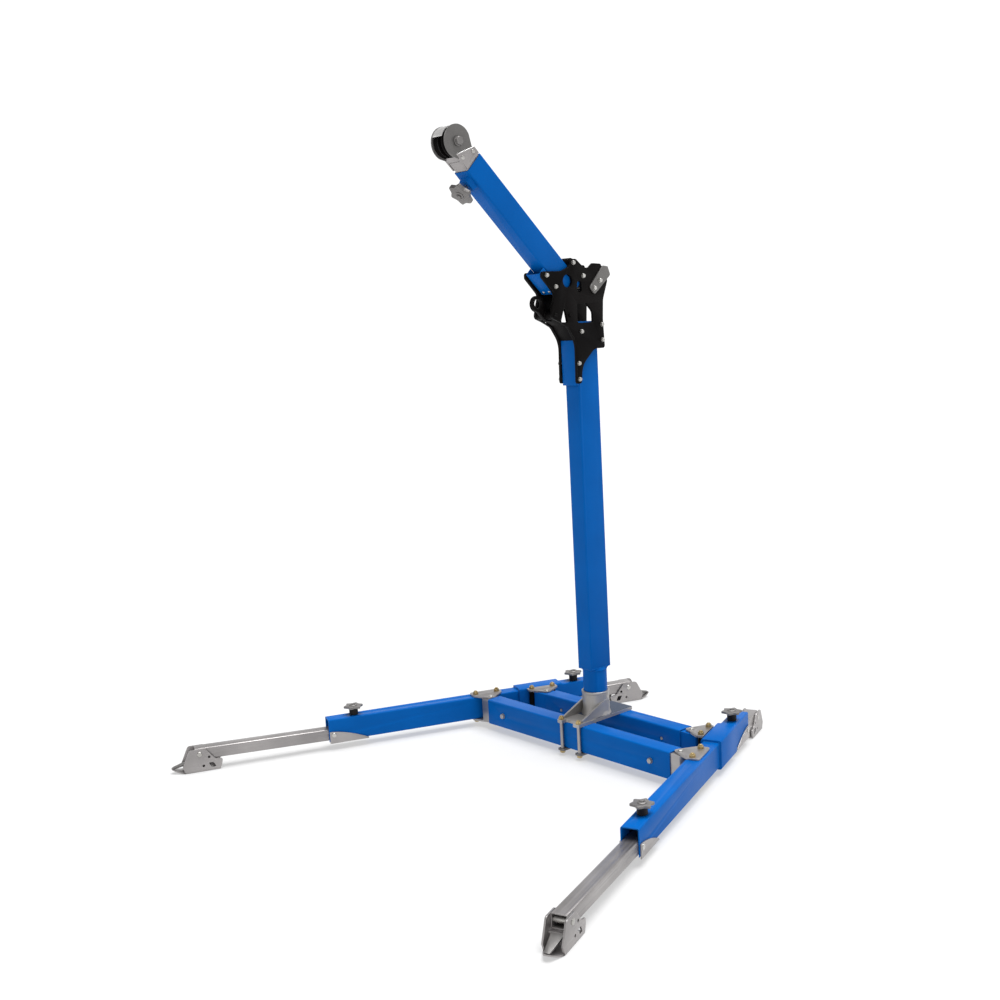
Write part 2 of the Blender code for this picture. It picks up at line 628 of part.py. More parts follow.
def build_rail(leg, frame):
    rail = tube(leg.name + "_rail", RAIL_WIDTH, RAIL_HEIGHT, RAIL_WALL, leg.seam, leg.mouth, "YZ",
                (leg.line, BEAM_MID_Z), "powder_blue", frame)
    if not leg.front:
        sleeve = bmesh.new()
        centre = (leg.line, BEAM_MID_Z)
        outer = rectangle(RAIL_WIDTH + 2 * SLEEVE_WALL, RAIL_HEIGHT + 2 * SLEEVE_WALL, SLEEVE_CORNER, centre)
        weld = [rectangle(RAIL_WIDTH - RAIL_WALL, RAIL_HEIGHT - RAIL_WALL, TUBE_CORNER, centre)]
        slab(sleeve, outer, leg.seam + SLEEVE_SETBACK, leg.seam + SLEEVE_LENGTH, "YZ", weld)
        fuse(rail, sleeve, "sleeve")
    tools = bmesh.new()
    low, high = RAIL_BOTTOM_Z - 0.01, RAIL_TOP_Z + 0.01
    if leg.front:
        for spread in (-HINGE_BOLT_SPREAD, HINGE_BOLT_SPREAD):
            rod(tools, (spread, leg.bolt_out, low), (spread, leg.bolt_out, high), HINGE_PIN_RADIUS + HOLE_FIT)
    rod(tools, (leg.jack, leg.line, BEAM_MID_Z), (leg.jack, leg.line, high), JACK_SCREW_RADIUS + HOLE_FIT)
    rod(tools, (leg.mouth_pin, leg.line - RAIL_WIDTH, MOUTH_PIN_Z),
        (leg.mouth_pin, leg.line + RAIL_WIDTH, MOUTH_PIN_Z), MOUTH_PIN_RADIUS + HOLE_FIT)
    half = EXTENSION_WIDTH / 2 + RUNNING_FIT
    block(tools, (leg.mouth - MOUTH_NOTCH, leg.line - half, low),
          (leg.mouth + 0.01, leg.line + half, RAIL_BOTTOM_Z + RAIL_WALL + 0.001))
    cut(rail, tools, "holes")


def hinge_outline(leg):
    """Three-cornered plate from the pin to the two bolts at the rail."""
    out = leg.out
    if leg.front:
        edge = abs(leg.line) + RAIL_WIDTH / 2 - 0.008
        far = HINGE_BOLT_SPREAD + HINGE_BOLT_BOSS
        shape = [(-far, edge, 0.010), (-far, abs(leg.bolt_out) - HINGE_BOLT_BOSS * 0.8, 0.010)]
    else:
        edge = abs(leg.line) - RAIL_WIDTH / 2 - SLEEVE_WALL - GAP
        far = HINGE_BOLT_SPREAD + HINGE_BOLT_BOSS
        shape = [(-far, edge, 0.003), (-far, abs(leg.bolt_out) - HINGE_BOLT_BOSS * 0.8, 0.010)]
    corner = HINGE_PIN_BOSS
    pin_end = [(-corner * math.cos(a), -corner * math.sin(a))
               for a in [math.radians(20 + 140 * i / 6) for i in range(7)]]
    left = rounded([(pin_end[0][0], pin_end[0][1], 0), shape[1], shape[0],
                    (far, edge, shape[0][2]), (far, shape[1][1], shape[1][2]),
                    (pin_end[-1][0], pin_end[-1][1], 0)], 2)
    points = left[1:-1] + pin_end[::-1]
    return [(u, v * out) for u, v in points]


def build_hinge(leg, frame):
    """Two plates of a corner hinge. The lower one carries the two bolts, and spacers at the rear."""
    outline = hinge_outline(leg)
    spots = [(0.0, 0.0), (-HINGE_BOLT_SPREAD, leg.bolt_out), (HINGE_BOLT_SPREAD, leg.bolt_out)]
    holes = [circle(spot, HINGE_PIN_RADIUS + HOLE_FIT) for spot in spots]
    top = RAIL_TOP_Z + GAP
    low = RAIL_BOTTOM_Z - GAP - HINGE_PLATE_THICKNESS
    plate(leg.name + "_upper_hinge_plate", outline, top, top + HINGE_PLATE_THICKNESS, "XY", "bare_aluminium",
          frame, holes)
    lower = plate(leg.name + "_lower_hinge_plate", outline, low, low + HINGE_PLATE_THICKNESS, "XY",
                  "bare_aluminium", frame, holes[:1])
    grip = RAIL_HEIGHT + 2 * (HINGE_PLATE_THICKNESS + GAP)
    spacer = None
    if not leg.front:
        spacer = (HINGE_PLATE_THICKNESS - WELD, grip - HINGE_PLATE_THICKNESS - GAP, REAR_HINGE_SPACER_RADIUS)
    bolts = bmesh.new()
    for spot in spots[1:]:
        through_bolt(bolts, (*spot, low), (0, 0, 1), grip, HINGE_PIN_RADIUS, seat=-WELD, collar=spacer)
    fuse(lower, bolts, "bolts")


def build_mouth_pin(leg, frame):
    bm = bmesh.new()
    grip = RAIL_WIDTH + 2 * (SADDLE_THICKNESS + GAP)
    pivot_pin(bm, (leg.mouth_pin, leg.line - leg.out * grip / 2, MOUTH_PIN_Z), (0, leg.out, 0), grip,
              MOUTH_PIN_RADIUS)
    add_object(leg.name + "_mouth_pin", bm, "zinc_steel", frame)


def build_saddle(leg, frame):
    """Bent saddle round the underside of the leg's mouth, with a curved ear on each side."""
    low = RAIL_BOTTOM_Z - GAP - SADDLE_THICKNESS
    front = leg.mouth - 0.002
    steps = 8
    curve = [(front - SADDLE_LENGTH * i / steps,
              low + SADDLE_THICKNESS + SADDLE_HEIGHT * (1 - (i / steps) ** 1.7)) for i in range(steps + 1)]
    outline = [(front - SADDLE_LENGTH, low), (front, low)] + curve
    inner = RAIL_WIDTH / 2 + GAP
    hole = [circle((leg.mouth_pin, MOUTH_PIN_Z), MOUTH_PIN_RADIUS + HOLE_FIT)]
    saddle = plate(leg.name + "_mouth_saddle", outline, leg.line + inner, leg.line + inner + SADDLE_THICKNESS,
                   "XZ", "bare_aluminium", frame, hole)
    ear = slab(bmesh.new(), outline, leg.line - inner - SADDLE_THICKNESS, leg.line - inner, "XZ", hole)
    fuse(saddle, ear, "inner_ear")
    web = bmesh.new()
    block(web, (front - SADDLE_LENGTH, leg.line - inner - SADDLE_THICKNESS / 2, low),
          (leg.mouth - MOUTH_NOTCH, leg.line + inner + SADDLE_THICKNESS / 2, low + SADDLE_THICKNESS))
    fuse(saddle, web, "web")


def build_jack_knob(name, parent, spot, direction, stand_off, screw_length, screw_radius):
    """Star knob on a black hub, with its screw, in one turning piece."""
    turn = Vector(direction).to_track_quat("Z", "Y").to_matrix().to_4x4()
    matrix = Matrix.Translation(spot) @ turn
    bm = bmesh.new()
    slab(bm, star(KNOB_RADIUS, KNOB_LOBE_DEPTH, KNOB_LOBES), stand_off + JACK_HUB_HEIGHT,
         stand_off + JACK_HUB_HEIGHT + KNOB_THICKNESS, "XY")
    bmesh.ops.transform(bm, matrix=matrix, verts=bm.verts)
    knob = add_object(name, bm, "cast_grey", parent)
    stem = bmesh.new()
    start = matrix @ Vector((0, 0, 0))
    sections = [(-screw_length, screw_radius, "round"), (stand_off, screw_radius, "round"),
                (stand_off, JACK_HUB_RADIUS, "round"),
                (stand_off + JACK_HUB_HEIGHT * 0.7, JACK_HUB_RADIUS, "round"),
                (stand_off + JACK_HUB_HEIGHT + 0.002, JACK_HUB_RADIUS * 1.25, "round"),
                (stand_off + JACK_HUB_HEIGHT + KNOB_THICKNESS + 0.002, JACK_HUB_RADIUS * 0.9, "round")]
    fastener(stem, start, direction, sections)
    fuse(knob, stem, "stem")
    return knob


def build_extension(leg, frame):
    """Levelling leg on the mouth pin. Its frame tilts with it."""
    pivot = empty(leg.name + "_extension_pivot", (leg.mouth_pin, leg.line, MOUTH_PIN_Z),
                  (0, -math.radians(REST_TILT_DEG), 0), frame)
    tail = EXTENSION_TAIL if leg.front else REAR_EXTENSION_TAIL
    extension = tube(leg.name + "_extension", EXTENSION_WIDTH, EXTENSION_HEIGHT, EXTENSION_WALL,
                     -tail, leg.reach, "YZ", (0, 0), "bare_aluminium", pivot)
    nut = bmesh.new()
    half = EXTENSION_WIDTH / 2 - EXTENSION_WALL / 2
    block(nut, (-JACK_LEVER - NUT_BLOCK_LENGTH / 2, -half, -NUT_BLOCK_HEIGHT / 2),
          (-JACK_LEVER + NUT_BLOCK_LENGTH / 2, half, NUT_BLOCK_HEIGHT / 2))
    fuse(extension, nut, "nut_block")
    tools = bmesh.new()
    room = JACK_SCREW_RADIUS + JACK_SLOT_ROOM
    slab(tools, rectangle(2 * room, 2 * (JACK_SCREW_RADIUS + RUNNING_FIT), JACK_SCREW_RADIUS * 0.9,
                          (-JACK_LEVER, 0)), -EXTENSION_HEIGHT, EXTENSION_HEIGHT, "XY")
    for x, radius in ((0.0, MOUTH_PIN_RADIUS + RUNNING_FIT), (leg.shoe_pin, SHOE_PIN_RADIUS + RUNNING_FIT)):
        rod(tools, (x, -EXTENSION_WIDTH, 0), (x, EXTENSION_WIDTH, 0), radius)
    cut(extension, tools, "holes")
    return pivot


def build_shoe(leg, pivot):
    """Foot shoe: two windowed sides over a sole that turns up at the toe."""
    tilt = math.radians(REST_TILT_DEG)
    floor = -(MOUTH_PIN_Z + leg.shoe_pin * math.sin(tilt))
    frame = empty(leg.name + "_shoe_pivot", (leg.shoe_pin, 0, 0), (0, tilt, 0), pivot)
    inner = EXTENSION_WIDTH / 2 + RUNNING_FIT
    outer = inner + SHOE_SIDE
    top = SHOE_TOP
    side = rounded([(-SHOE_HEEL, floor + 0.001, 0.003), (SHOE_BALL, floor + 0.001, 0.001),
                    (SHOE_BALL + 0.022, floor + SHOE_TOE_LIFT * 0.8, 0.004), (0.030, top, 0.012),
                    (-0.052, top, 0.010), (-SHOE_HEEL - 0.010, -0.012, 0.008),
                    (-SHOE_HEEL - 0.006, floor + 0.016, 0.005)], 1)
    holes = [circle((-0.034, floor + 0.020), 0.0055, 6),
             rounded([(0.026, floor + 0.012, 0.003), (0.054, floor + 0.012, 0.004),
                      (0.034, floor + 0.034, 0.004), (0.026, floor + 0.034, 0.004)], 1)]
    shoe = plate(leg.name + "_shoe", side, inner, outer, "XZ", "bare_aluminium", frame, holes)
    fuse(shoe, slab(bmesh.new(), side, -outer, -inner, "XZ", holes), "other_side")
    sole = bmesh.new()
    heel, ball, toe = -SHOE_HEEL, SHOE_BALL, SHOE_TOE
    run = [(heel, floor), (ball, floor), (toe, floor + SHOE_TOE_LIFT),
           (toe - 0.002, floor + SHOE_TOE_LIFT + SHOE_SOLE), (ball - 0.002, floor + SHOE_SOLE),
           (heel, floor + SHOE_SOLE)]
    slab(sole, run, -outer + 0.0002, outer - 0.0002, "XZ")
    narrowed = [vert for vert in sole.verts if vert.co.x > ball + 0.01]
    for vert in narrowed:
        vert.co.y *= 0.62
    fuse(shoe, sole, "sole")
    grip = 2 * outer
    fuse(shoe, through_bolt(bmesh.new(), (0, -leg.out * outer, 0), (0, leg.out, 0), grip - GAP - WELD,
                            SHOE_PIN_RADIUS, seat=-WELD), "pin")


def build_legs(base):
    for end in ("front", "rear"):
        for side in ("left", "right"):
            leg = Leg(end, side)
            frame = empty(leg.name + "_leg_pivot", leg.pin, (0, 0, leg.turn), base)
            build_rail(leg, frame)
            build_hinge(leg, frame)
            build_saddle(leg, frame)
            build_mouth_pin(leg, frame)
            screw_foot = MOUTH_PIN_Z - EXTENSION_HEIGHT / 2 + EXTENSION_WALL + 0.001
            build_jack_knob(leg.name + "_jack_knob", frame, (leg.jack, leg.line, RAIL_TOP_Z), (0, 0, 1),
                            GAP, RAIL_TOP_Z - screw_foot, JACK_SCREW_RADIUS)
            pivot = build_extension(leg, frame)
            build_shoe(leg, pivot)


# Mast

def mast_section(bm, height, inset, sides):
    """Ring of points on the mast's box outline, set in by a little, at even angles."""
    points = []
    corner = math.hypot(MAST_WIDTH, MAST_DEPTH) / 2 - 0.0021
    for i in range(sides):
        angle = 2 * math.pi * i / sides
        reach = min(MAST_WIDTH / 2 / max(abs(math.cos(angle)), 1e-6),
                    MAST_DEPTH / 2 / max(abs(math.sin(angle)), 1e-6), corner) - inset
        points.append(bm.verts.new((reach * math.cos(angle), reach * math.sin(angle), height)))
    return points


def build_mast(mast):
    """Box tube with a round spigot welded in its foot."""
    mast_tube = tube("mast_tube", MAST_WIDTH, MAST_DEPTH, MAST_WALL, MAST_BOTTOM_Z, MAST_TOP_Z, "XY", (0, 0),
                     "powder_blue", mast)
    sides = SOCKET_SIDES
    bm = bmesh.new()
    inner = SPIGOT_RADIUS - SPIGOT_WALL
    foot = SOCKET_FLOOR_Z + GAP
    under = MAST_BOTTOM_Z - COLLAR_HEIGHT
    round_rings = [(inner, under - 0.010), (inner, foot), (SPIGOT_RADIUS - 0.0015, foot),
                   (SPIGOT_RADIUS, foot + 0.0015), (SPIGOT_RADIUS, under)]
    loops = [ring(bm, "round", radius, height, Matrix.Identity(4), sides) for radius, height in round_rings]
    loops += [mast_section(bm, MAST_BOTTOM_Z, GAP, sides),
              mast_section(bm, MAST_BOTTOM_Z + COLLAR_HEIGHT, MAST_WALL / 2, sides)]
    for low, high in zip(loops, loops[1:]):
        for i in range(sides):
            bm.faces.new((low[i - 1], low[i], high[i], high[i - 1]))
    bm.faces.new(loops[0])
    bm.faces.new(loops[-1])
    fuse(mast_tube, bm, "spigot")
    y, z = HEAD_BOLTS["mast_cross"]
    cut(mast_tube, rod(bmesh.new(), (-MAST_WIDTH, y, z), (MAST_WIDTH, y, z), HEAD_BOLT_RADIUS + HOLE_FIT),
        "cross_hole")


# Head

ARM_STOP_RISE = ARM_HEIGHT / 2 + ARM_STOP_RADIUS + 2 * GAP
MAST_STOP_Y = MAST_DEPTH / 2 + MAST_STOP_RADIUS + 2 * GAP
HEAD_BOLTS = {
    "arm_front_1": arm_point(ARM_BOLTS[0], -ARM_BOLT_DROP),
    "arm_front_2": arm_point(ARM_BOLTS[1], -ARM_BOLT_DROP),
    "arm_back_1": arm_point(ARM_STOPS[0], ARM_STOP_RISE),
    "arm_back_2": arm_point(ARM_STOPS[1], ARM_STOP_RISE),
    "mast_front_1": (-MAST_DEPTH / 2 - MAST_BOLT_OFF, MAST_TOP_Z - MAST_BOLTS_DOWN[0]),
    "mast_front_2": (-MAST_DEPTH / 2 - MAST_BOLT_OFF, MAST_TOP_Z - MAST_BOLTS_DOWN[1]),
    "mast_back_1": (MAST_STOP_Y, MAST_TOP_Z - MAST_STOPS_DOWN[0]),
    "mast_back_2": (MAST_STOP_Y, MAST_TOP_Z - MAST_STOPS_DOWN[1]),
    "mast_cross": (-0.0340, MAST_TOP_Z - 0.0300),
    "eye_1": (-0.1400, MAST_TOP_Z + 0.0220),
    "eye_2": (-0.0800, MAST_TOP_Z + 0.0200),
}
SPACERS = {"arm_back_1": ARM_STOP_RADIUS, "arm_back_2": ARM_STOP_RADIUS,
           "mast_back_1": MAST_STOP_RADIUS, "mast_back_2": MAST_STOP_RADIUS}
EYE_CENTRE = (-0.1760, MAST_TOP_Z + 0.0580)
EYE_RADIUS = 0.0240
EYE_HOLE = 0.0150
EYE_THICKNESS = 0.0120


def head_outline():
    """Side view (y, z) of a head plate, from the tip under the arm round to the mast."""
    front = -MAST_DEPTH / 2 - MAST_SADDLE_DEPTH - 0.004
    back = MAST_STOP_Y + MAST_STOP_RADIUS
    b1, b2 = HEAD_BOLTS["arm_front_1"], HEAD_BOLTS["arm_front_2"]
    top, arm = MAST_TOP_Z, ARM_REF_Z
    return rounded([
        (b1[0] - 0.0170, b1[1] + 0.0110, 0.008), (-0.1050, arm - 0.0133, 0.030), (-0.0700, arm - 0.0003, 0.018),
        (-0.0700, arm + 0.0277, 0.008), (-0.0440, arm + 0.0277, 0.010), (-0.0120, arm - 0.0043, 0.012),
        (0.0110, arm - 0.0043, 0.010), (0.0280, arm + 0.0087, 0.004), (0.0600, arm + 0.0067, 0.006),
        (0.0880, arm - 0.0433, 0.012), (back, top + 0.0640, 0.050), (back - 0.004, top + 0.0040, 0.050),
        (back, top - 0.0840, 0.008), (0.0200, top - 0.0840, 0.030), (-0.0340, top - 0.1310, 0.060),
        (-0.0420, top - 0.1860, 0.007), (front, top - 0.1860, 0.007), (front + 0.003, top - 0.0610, 0.080),
        (-0.0900, top - 0.0140, 0.030), (-0.1260, top + 0.0040, 0.020), (-0.1560, top + 0.0160, 0.012),
        (-0.1480, top + 0.0490, 0.020), (b2[0] - 0.0020, b2[1] - 0.0230, 0.020),
        (b1[0] - 0.0170, b1[1] - 0.0060, 0.010)], 2)


def head_cutouts():
    top, arm = MAST_TOP_Z, ARM_REF_Z
    big = rounded([(-0.0480, top - 0.0040, 0.006), (0.0200, top - 0.0040, 0.006), (0.0200, top + 0.0280, 0.020),
                   (-0.0060, top + 0.0540, 0.008), (-0.0480, top + 0.0540, 0.006)])
    wedge = rounded([(-0.1180, top + 0.0020, 0.004), (-0.0970, top, 0.004), (-0.1080, top + 0.0480, 0.004)])
    small = rectangle(0.0200, 0.0340, 0.0095, (-0.0340, arm - 0.0603))
    return [circle((-0.0830, arm - 0.0428), 0.0195, 16), small, big, wedge]


# Rear lug, folded round the back of the head on two pins

LUG_START = (0.0200, ARM_REF_Z - 0.0703)
LUG_LEAN = math.radians(42)
LUG_WALL = 0.0040
LUG_PIN_RADIUS = 0.0040
LUG_PINS = (0.0060, 0.0400)  # along the lug


def lug_spot(along, across):
    """Point (y, z) along the lug from its start, and above its centre line."""
    return (LUG_START[0] + along * math.cos(LUG_LEAN) - across * math.sin(LUG_LEAN),
            LUG_START[1] + along * math.sin(LUG_LEAN) + across * math.cos(LUG_LEAN))


def build_head(mast):
    outline = head_outline()
    cutouts = head_cutouts()
    holes = [circle(spot, HEAD_BOLT_RADIUS + HOLE_FIT) for spot in HEAD_BOLTS.values()]
    pin_holes = [circle(lug_spot(along, 0), LUG_PIN_RADIUS + HOLE_FIT) for along in LUG_PINS]
    outer = PLATE_INNER_X + PLATE_THICKNESS
    plate("head_plate_left", outline, -outer, -PLATE_INNER_X, "YZ", "black_plate", mast,
          cutouts + holes + pin_holes)
    right = plate("head_plate_right", outline, PLATE_INNER_X, outer, "YZ", "black_plate", mast,
                  cutouts + pin_holes)
    bolts = bmesh.new()
    for label, (y, z) in HEAD_BOLTS.items():
        spacer = None
        if label in SPACERS:
            spacer = (PLATE_THICKNESS - WELD, PLATE_THICKNESS + 2 * PLATE_INNER_X - GAP, SPACERS[label])
        through_bolt(bolts, (outer, y, z), (-1, 0, 0), 2 * outer, HEAD_BOLT_RADIUS, seat=-WELD, collar=spacer)
    fuse(right, bolts, "bolts")


def build_eye(mast):
    """Anchor eye in front of the head, bolted between the two plates."""
    y, z = EYE_CENTRE
    steps = 16
    arc = [(y + EYE_RADIUS * math.cos(a), z + EYE_RADIUS * math.sin(a), 0)
           for a in [math.radians(45 + 225 * i / steps) for i in range(steps + 1)]]
    first, second = HEAD_BOLTS["eye_1"], HEAD_BOLTS["eye_2"]
    edge = EYE_SPACER_RADIUS + 0.0040
    outline = rounded(arc + [(first[0] - 0.0060, first[1] - edge, 0.005),
                             (second[0] + edge, second[1] - edge, 0.010),
                             (second[0] + edge, second[1] + edge, 0.010),
                             (first[0] + 0.0080, first[1] + edge + 0.002, 0.012)])
    eye = plate("anchor_eye", outline, -EYE_THICKNESS / 2, EYE_THICKNESS / 2, "YZ", "black_plate", mast,
                [circle((y, z), EYE_HOLE, 16)])
    reach = PLATE_INNER_X - GAP
    spacers, holes = bmesh.new(), bmesh.new()
    for y, z in (first, second):
        rod(spacers, (-reach, y, z), (reach, y, z), EYE_SPACER_RADIUS, 12)
        rod(holes, (-2 * reach, y, z), (2 * reach, y, z), HEAD_BOLT_RADIUS + HOLE_FIT)
    fuse(eye, spacers, "spacers")
    cut(eye, holes, "holes")


def build_saddles(mast):
    """Channels between the head plates that the mast and the arm bear on."""
    half = MAST_WIDTH / 2 - 0.0005
    face = -MAST_DEPTH / 2 - GAP
    outline = rounded([(-half, face, 0), (-half, face - MAST_SADDLE_DEPTH, 0.003),
                       (half, face - MAST_SADDLE_DEPTH, 0.003), (half, face, 0),
                       (half - MAST_SADDLE_WALL, face, 0),
                       (half - MAST_SADDLE_WALL, face - MAST_SADDLE_DEPTH + MAST_SADDLE_WALL, 0.001),
                       (MAST_SADDLE_WALL - half, face - MAST_SADDLE_DEPTH + MAST_SADDLE_WALL, 0.001),
                       (MAST_SADDLE_WALL - half, face, 0)], 2)
    saddle = plate("mast_saddle", outline, MAST_TOP_Z - MAST_SADDLE_DOWN[0],
                   MAST_TOP_Z - MAST_SADDLE_DOWN[1], "XY", "powder_blue", mast)
    tools = bmesh.new()
    for label in ("mast_front_1", "mast_front_2"):
        y, z = HEAD_BOLTS[label]
        rod(tools, (-MAST_WIDTH, y, z), (MAST_WIDTH, y, z), HEAD_BOLT_RADIUS + HOLE_FIT)
    cut(saddle, tools, "bolt_holes")

    half = ARM_WIDTH / 2 - 0.0005
    face = -ARM_HEIGHT / 2 - GAP
    deep = face - ARM_SADDLE_DEPTH
    wall = MAST_SADDLE_WALL
    outline = rounded([(-half, face, 0), (-half, deep, 0.004), (half, deep, 0.004), (half, face, 0),
                       (half - wall, face, 0), (half - wall, deep + wall, 0.0015),
                       (wall - half, deep + wall, 0.0015), (wall - half, face, 0)], 2)
    frame = empty("arm_frame", (0, ARM_REF_Y, ARM_REF_Z), (math.pi / 2 - ARM_RISE, 0, 0), mast)
    saddle = plate("arm_saddle", outline, *ARM_SADDLE_ENDS, "XY", "powder_blue", frame)
    tools = bmesh.new()
    for along in ARM_BOLTS:
        rod(tools, (-ARM_WIDTH, -ARM_BOLT_DROP, along), (ARM_WIDTH, -ARM_BOLT_DROP, along),
            HEAD_BOLT_RADIUS + HOLE_FIT)
    cut(saddle, tools, "bolt_holes")
    return frame


def build_rear_lug(mast):
    """Folded steel lug over the upper back of the head, with its two pins through the plates."""
    inner = PLATE_INNER_X + PLATE_THICKNESS + GAP
    outer = inner + LUG_WALL
    outline = rounded([(*lug_spot(-0.006, -0.015), 0.008), (*lug_spot(0.086, -0.020), 0.006),
                       (*lug_spot(0.096, 0.006), 0.006), (*lug_spot(0.082, 0.022), 0.004),
                       (*lug_spot(-0.006, 0.015), 0.008)])
    lug = plate("rear_lug", outline, inner, outer, "YZ", "cast_grey", mast)
    rest = slab(bmesh.new(), outline, -outer, -inner, "YZ")
    fuse(lug, rest, "other_side")
    web = bmesh.new()
    bridge = rounded([(*lug_spot(0.080, -0.019), 0), (*lug_spot(0.0935, -0.001), 0),
                      (*lug_spot(0.0890, 0.004), 0), (*lug_spot(0.076, -0.0155), 0)])
    slab(web, bridge, -outer + LUG_WALL / 2, outer - LUG_WALL / 2, "YZ")
    fuse(lug, web, "web")
    pins = bmesh.new()
    for along in LUG_PINS:
        through_bolt(pins, (outer, *lug_spot(along, 0)), (-1, 0, 0), 2 * outer - GAP - WELD, LUG_PIN_RADIUS,
                     seat=-WELD)
    fuse(lug, pins, "pins")


# Arm

def build_arm(frame):
    """The arm's own frame has Z along the arm to its tip and Y out of its upper side."""
    arm = tube("arm_tube", ARM_WIDTH, ARM_HEIGHT, ARM_WALL, -ARM_ROOT, ARM_TIP, "XY", (0, 0),
               "powder_blue", frame)
    boss_z = ARM_TIP - CLAMP_KNOB_BACK
    under = -ARM_HEIGHT / 2
    boss_foot = under - CLAMP_BOSS_HEIGHT
    boss = bmesh.new()
    slab(boss, rectangle(CLAMP_BOSS_SIZE, CLAMP_BOSS_SIZE, 0.008, (0, boss_z), 3), boss_foot, under + WELD, "XZ")
    for vert in boss.verts:
        if vert.co.y < under:
            vert.co.x *= CLAMP_BOSS_TAPER
            vert.co.z = boss_z + (vert.co.z - boss_z) * CLAMP_BOSS_TAPER
    fuse(arm, boss, "clamp_boss")
    cut(arm, rod(bmesh.new(), (0, under + 2 * ARM_WALL, boss_z), (0, boss_foot - 0.01, boss_z),
                 CLAMP_SCREW_RADIUS + HOLE_FIT), "screw_hole")
    inner_face = under + ARM_WALL + RUNNING_FIT
    build_jack_knob("clamp_knob", frame, (0, boss_foot, boss_z), (0, -1, 0), GAP,
                    inner_face - GAP - boss_foot, CLAMP_SCREW_RADIUS)


def build_inner_arm(frame):
    width = ARM_WIDTH - 2 * (ARM_WALL + RUNNING_FIT)
    height = ARM_HEIGHT - 2 * (ARM_WALL + RUNNING_FIT)
    end = ARM_TIP + INNER_OUT
    inner = tube("inner_arm", width, height, INNER_WALL, ARM_TIP - INNER_IN, end, "XY", (0, 0),
                 "bare_aluminium", frame)
    axle_z = end + AXLE_BEYOND
    half = width / 2 + GAP
    bolt_spots = [(-0.019, end - 0.014), (0.019, end - 0.014)]
    sides = 20
    round_end = [(TIP_PLATE_RADIUS * math.cos(a), axle_z + TIP_PLATE_RADIUS * math.sin(a))
                 for a in [math.radians(-20 + 220 * i / sides) for i in range(sides + 1)]]
    root = rounded([(-height / 2 + 0.002, end - 0.004, 0.004), (-height / 2 + 0.006, end - 0.030, 0.006),
                    (height / 2 - 0.006, end - 0.030, 0.006), (height / 2 - 0.002, end - 0.004, 0.004)], 3)
    outline = round_end + root
    holes = [circle((0, axle_z), SHEAVE_BORE + HOLE_FIT)]
    holes += [circle(spot, HEAD_BOLT_RADIUS + HOLE_FIT) for spot in bolt_spots]
    outer = half + TIP_PLATE_THICKNESS
    plate("tip_plate_left", outline, -outer, -half, "YZ", "cast_grey", frame, holes)
    right = plate("tip_plate_right", outline, half, outer, "YZ", "cast_grey", frame, holes[:1])
    tools = bmesh.new()
    for y, z in bolt_spots:
        rod(tools, (-width, y, z), (width, y, z), HEAD_BOLT_RADIUS + HOLE_FIT)
    cut(inner, tools, "bolt_holes")
    bolts = bmesh.new()
    for y, z in bolt_spots:
        through_bolt(bolts, (outer, y, z), (-1, 0, 0), 2 * outer, HEAD_BOLT_RADIUS, seat=-WELD)
    fuse(right, bolts, "bolts")
    washer = half - SHEAVE_WIDTH - RUNNING_FIT * 2
    bm = bmesh.new()
    through_bolt(bm, (outer, 0, axle_z), (-1, 0, 0), 2 * outer, SHEAVE_BORE - HOLE_FIT,
                 collar=(outer - washer, outer + washer, SHEAVE_WASHER_RADIUS))
    add_object("sheave_axle", bm, "zinc_steel", frame)
    build_sheaves(frame, axle_z, washer)


def build_sheaves(frame, axle_z, washer):
    """Two grooved sheaves side by side on the axle, one each side of its collar."""
    turn = Matrix.Rotation(math.radians(90), 4, "Y")
    bore = SHEAVE_BORE + RUNNING_FIT
    for label, side in (("sheave_left", -1), ("sheave_right", 1)):
        centre = side * (washer + RUNNING_FIT + SHEAVE_WIDTH / 2)
        spin = empty(label + "_pivot", (centre, 0, axle_z), None, frame)
        w = SHEAVE_WIDTH / 2
        rim, groove, lip = SHEAVE_RADIUS, SHEAVE_RADIUS - SHEAVE_GROOVE, SHEAVE_FLANGE
        profile = [(bore, -w), (rim, -w), (rim, -w + lip), (groove, -0.0030), (groove, 0.0030), (rim, w - lip),
                   (rim, w), (bore, w)]
        add_object(label, turned(bmesh.new(), profile, 24, turn), "black_plate", spin)


# Whole davit

def centre_on_footprint(base):
    """Move the davit along Y so that the origin is under the middle of its box."""
    bpy.context.view_layer.update()
    lows, highs = [], []
    for thing in bpy.data.objects:
        if thing.type != "MESH" or thing.hide_render:
            continue
        spots = [(thing.matrix_world @ vert.co).y for vert in thing.data.vertices]
        lows.append(min(spots))
        highs.append(max(spots))
    base.location.y = -(min(lows) + max(highs)) / 2


def main():
    clear_scene()
    base = empty("base_frame", (0, 0, 0))
    build_beams(base)
    build_inserts(base)
    build_socket(base)
    build_legs(base)
    mast = empty("mast_pivot", (0, 0, 0), None, base)
    build_mast(mast)
    build_head(mast)
    build_eye(mast)
    frame = build_saddles(mast)
    build_rear_lug(mast)
    build_arm(frame)
    build_inner_arm(frame)
    centre_on_footprint(base)


main()
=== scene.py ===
"""Looks of the confined space davit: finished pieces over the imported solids, lights and camera.

Each piece is made in the same frame and from the same sizes as the solid that it stands for, with
round holes, chamfered fasteners, weld beads and procedural finishes.
"""

import json
import math

import bmesh
import bpy
from mathutils import Euler, Matrix, Vector
from mathutils.geometry import tessellate_polygon

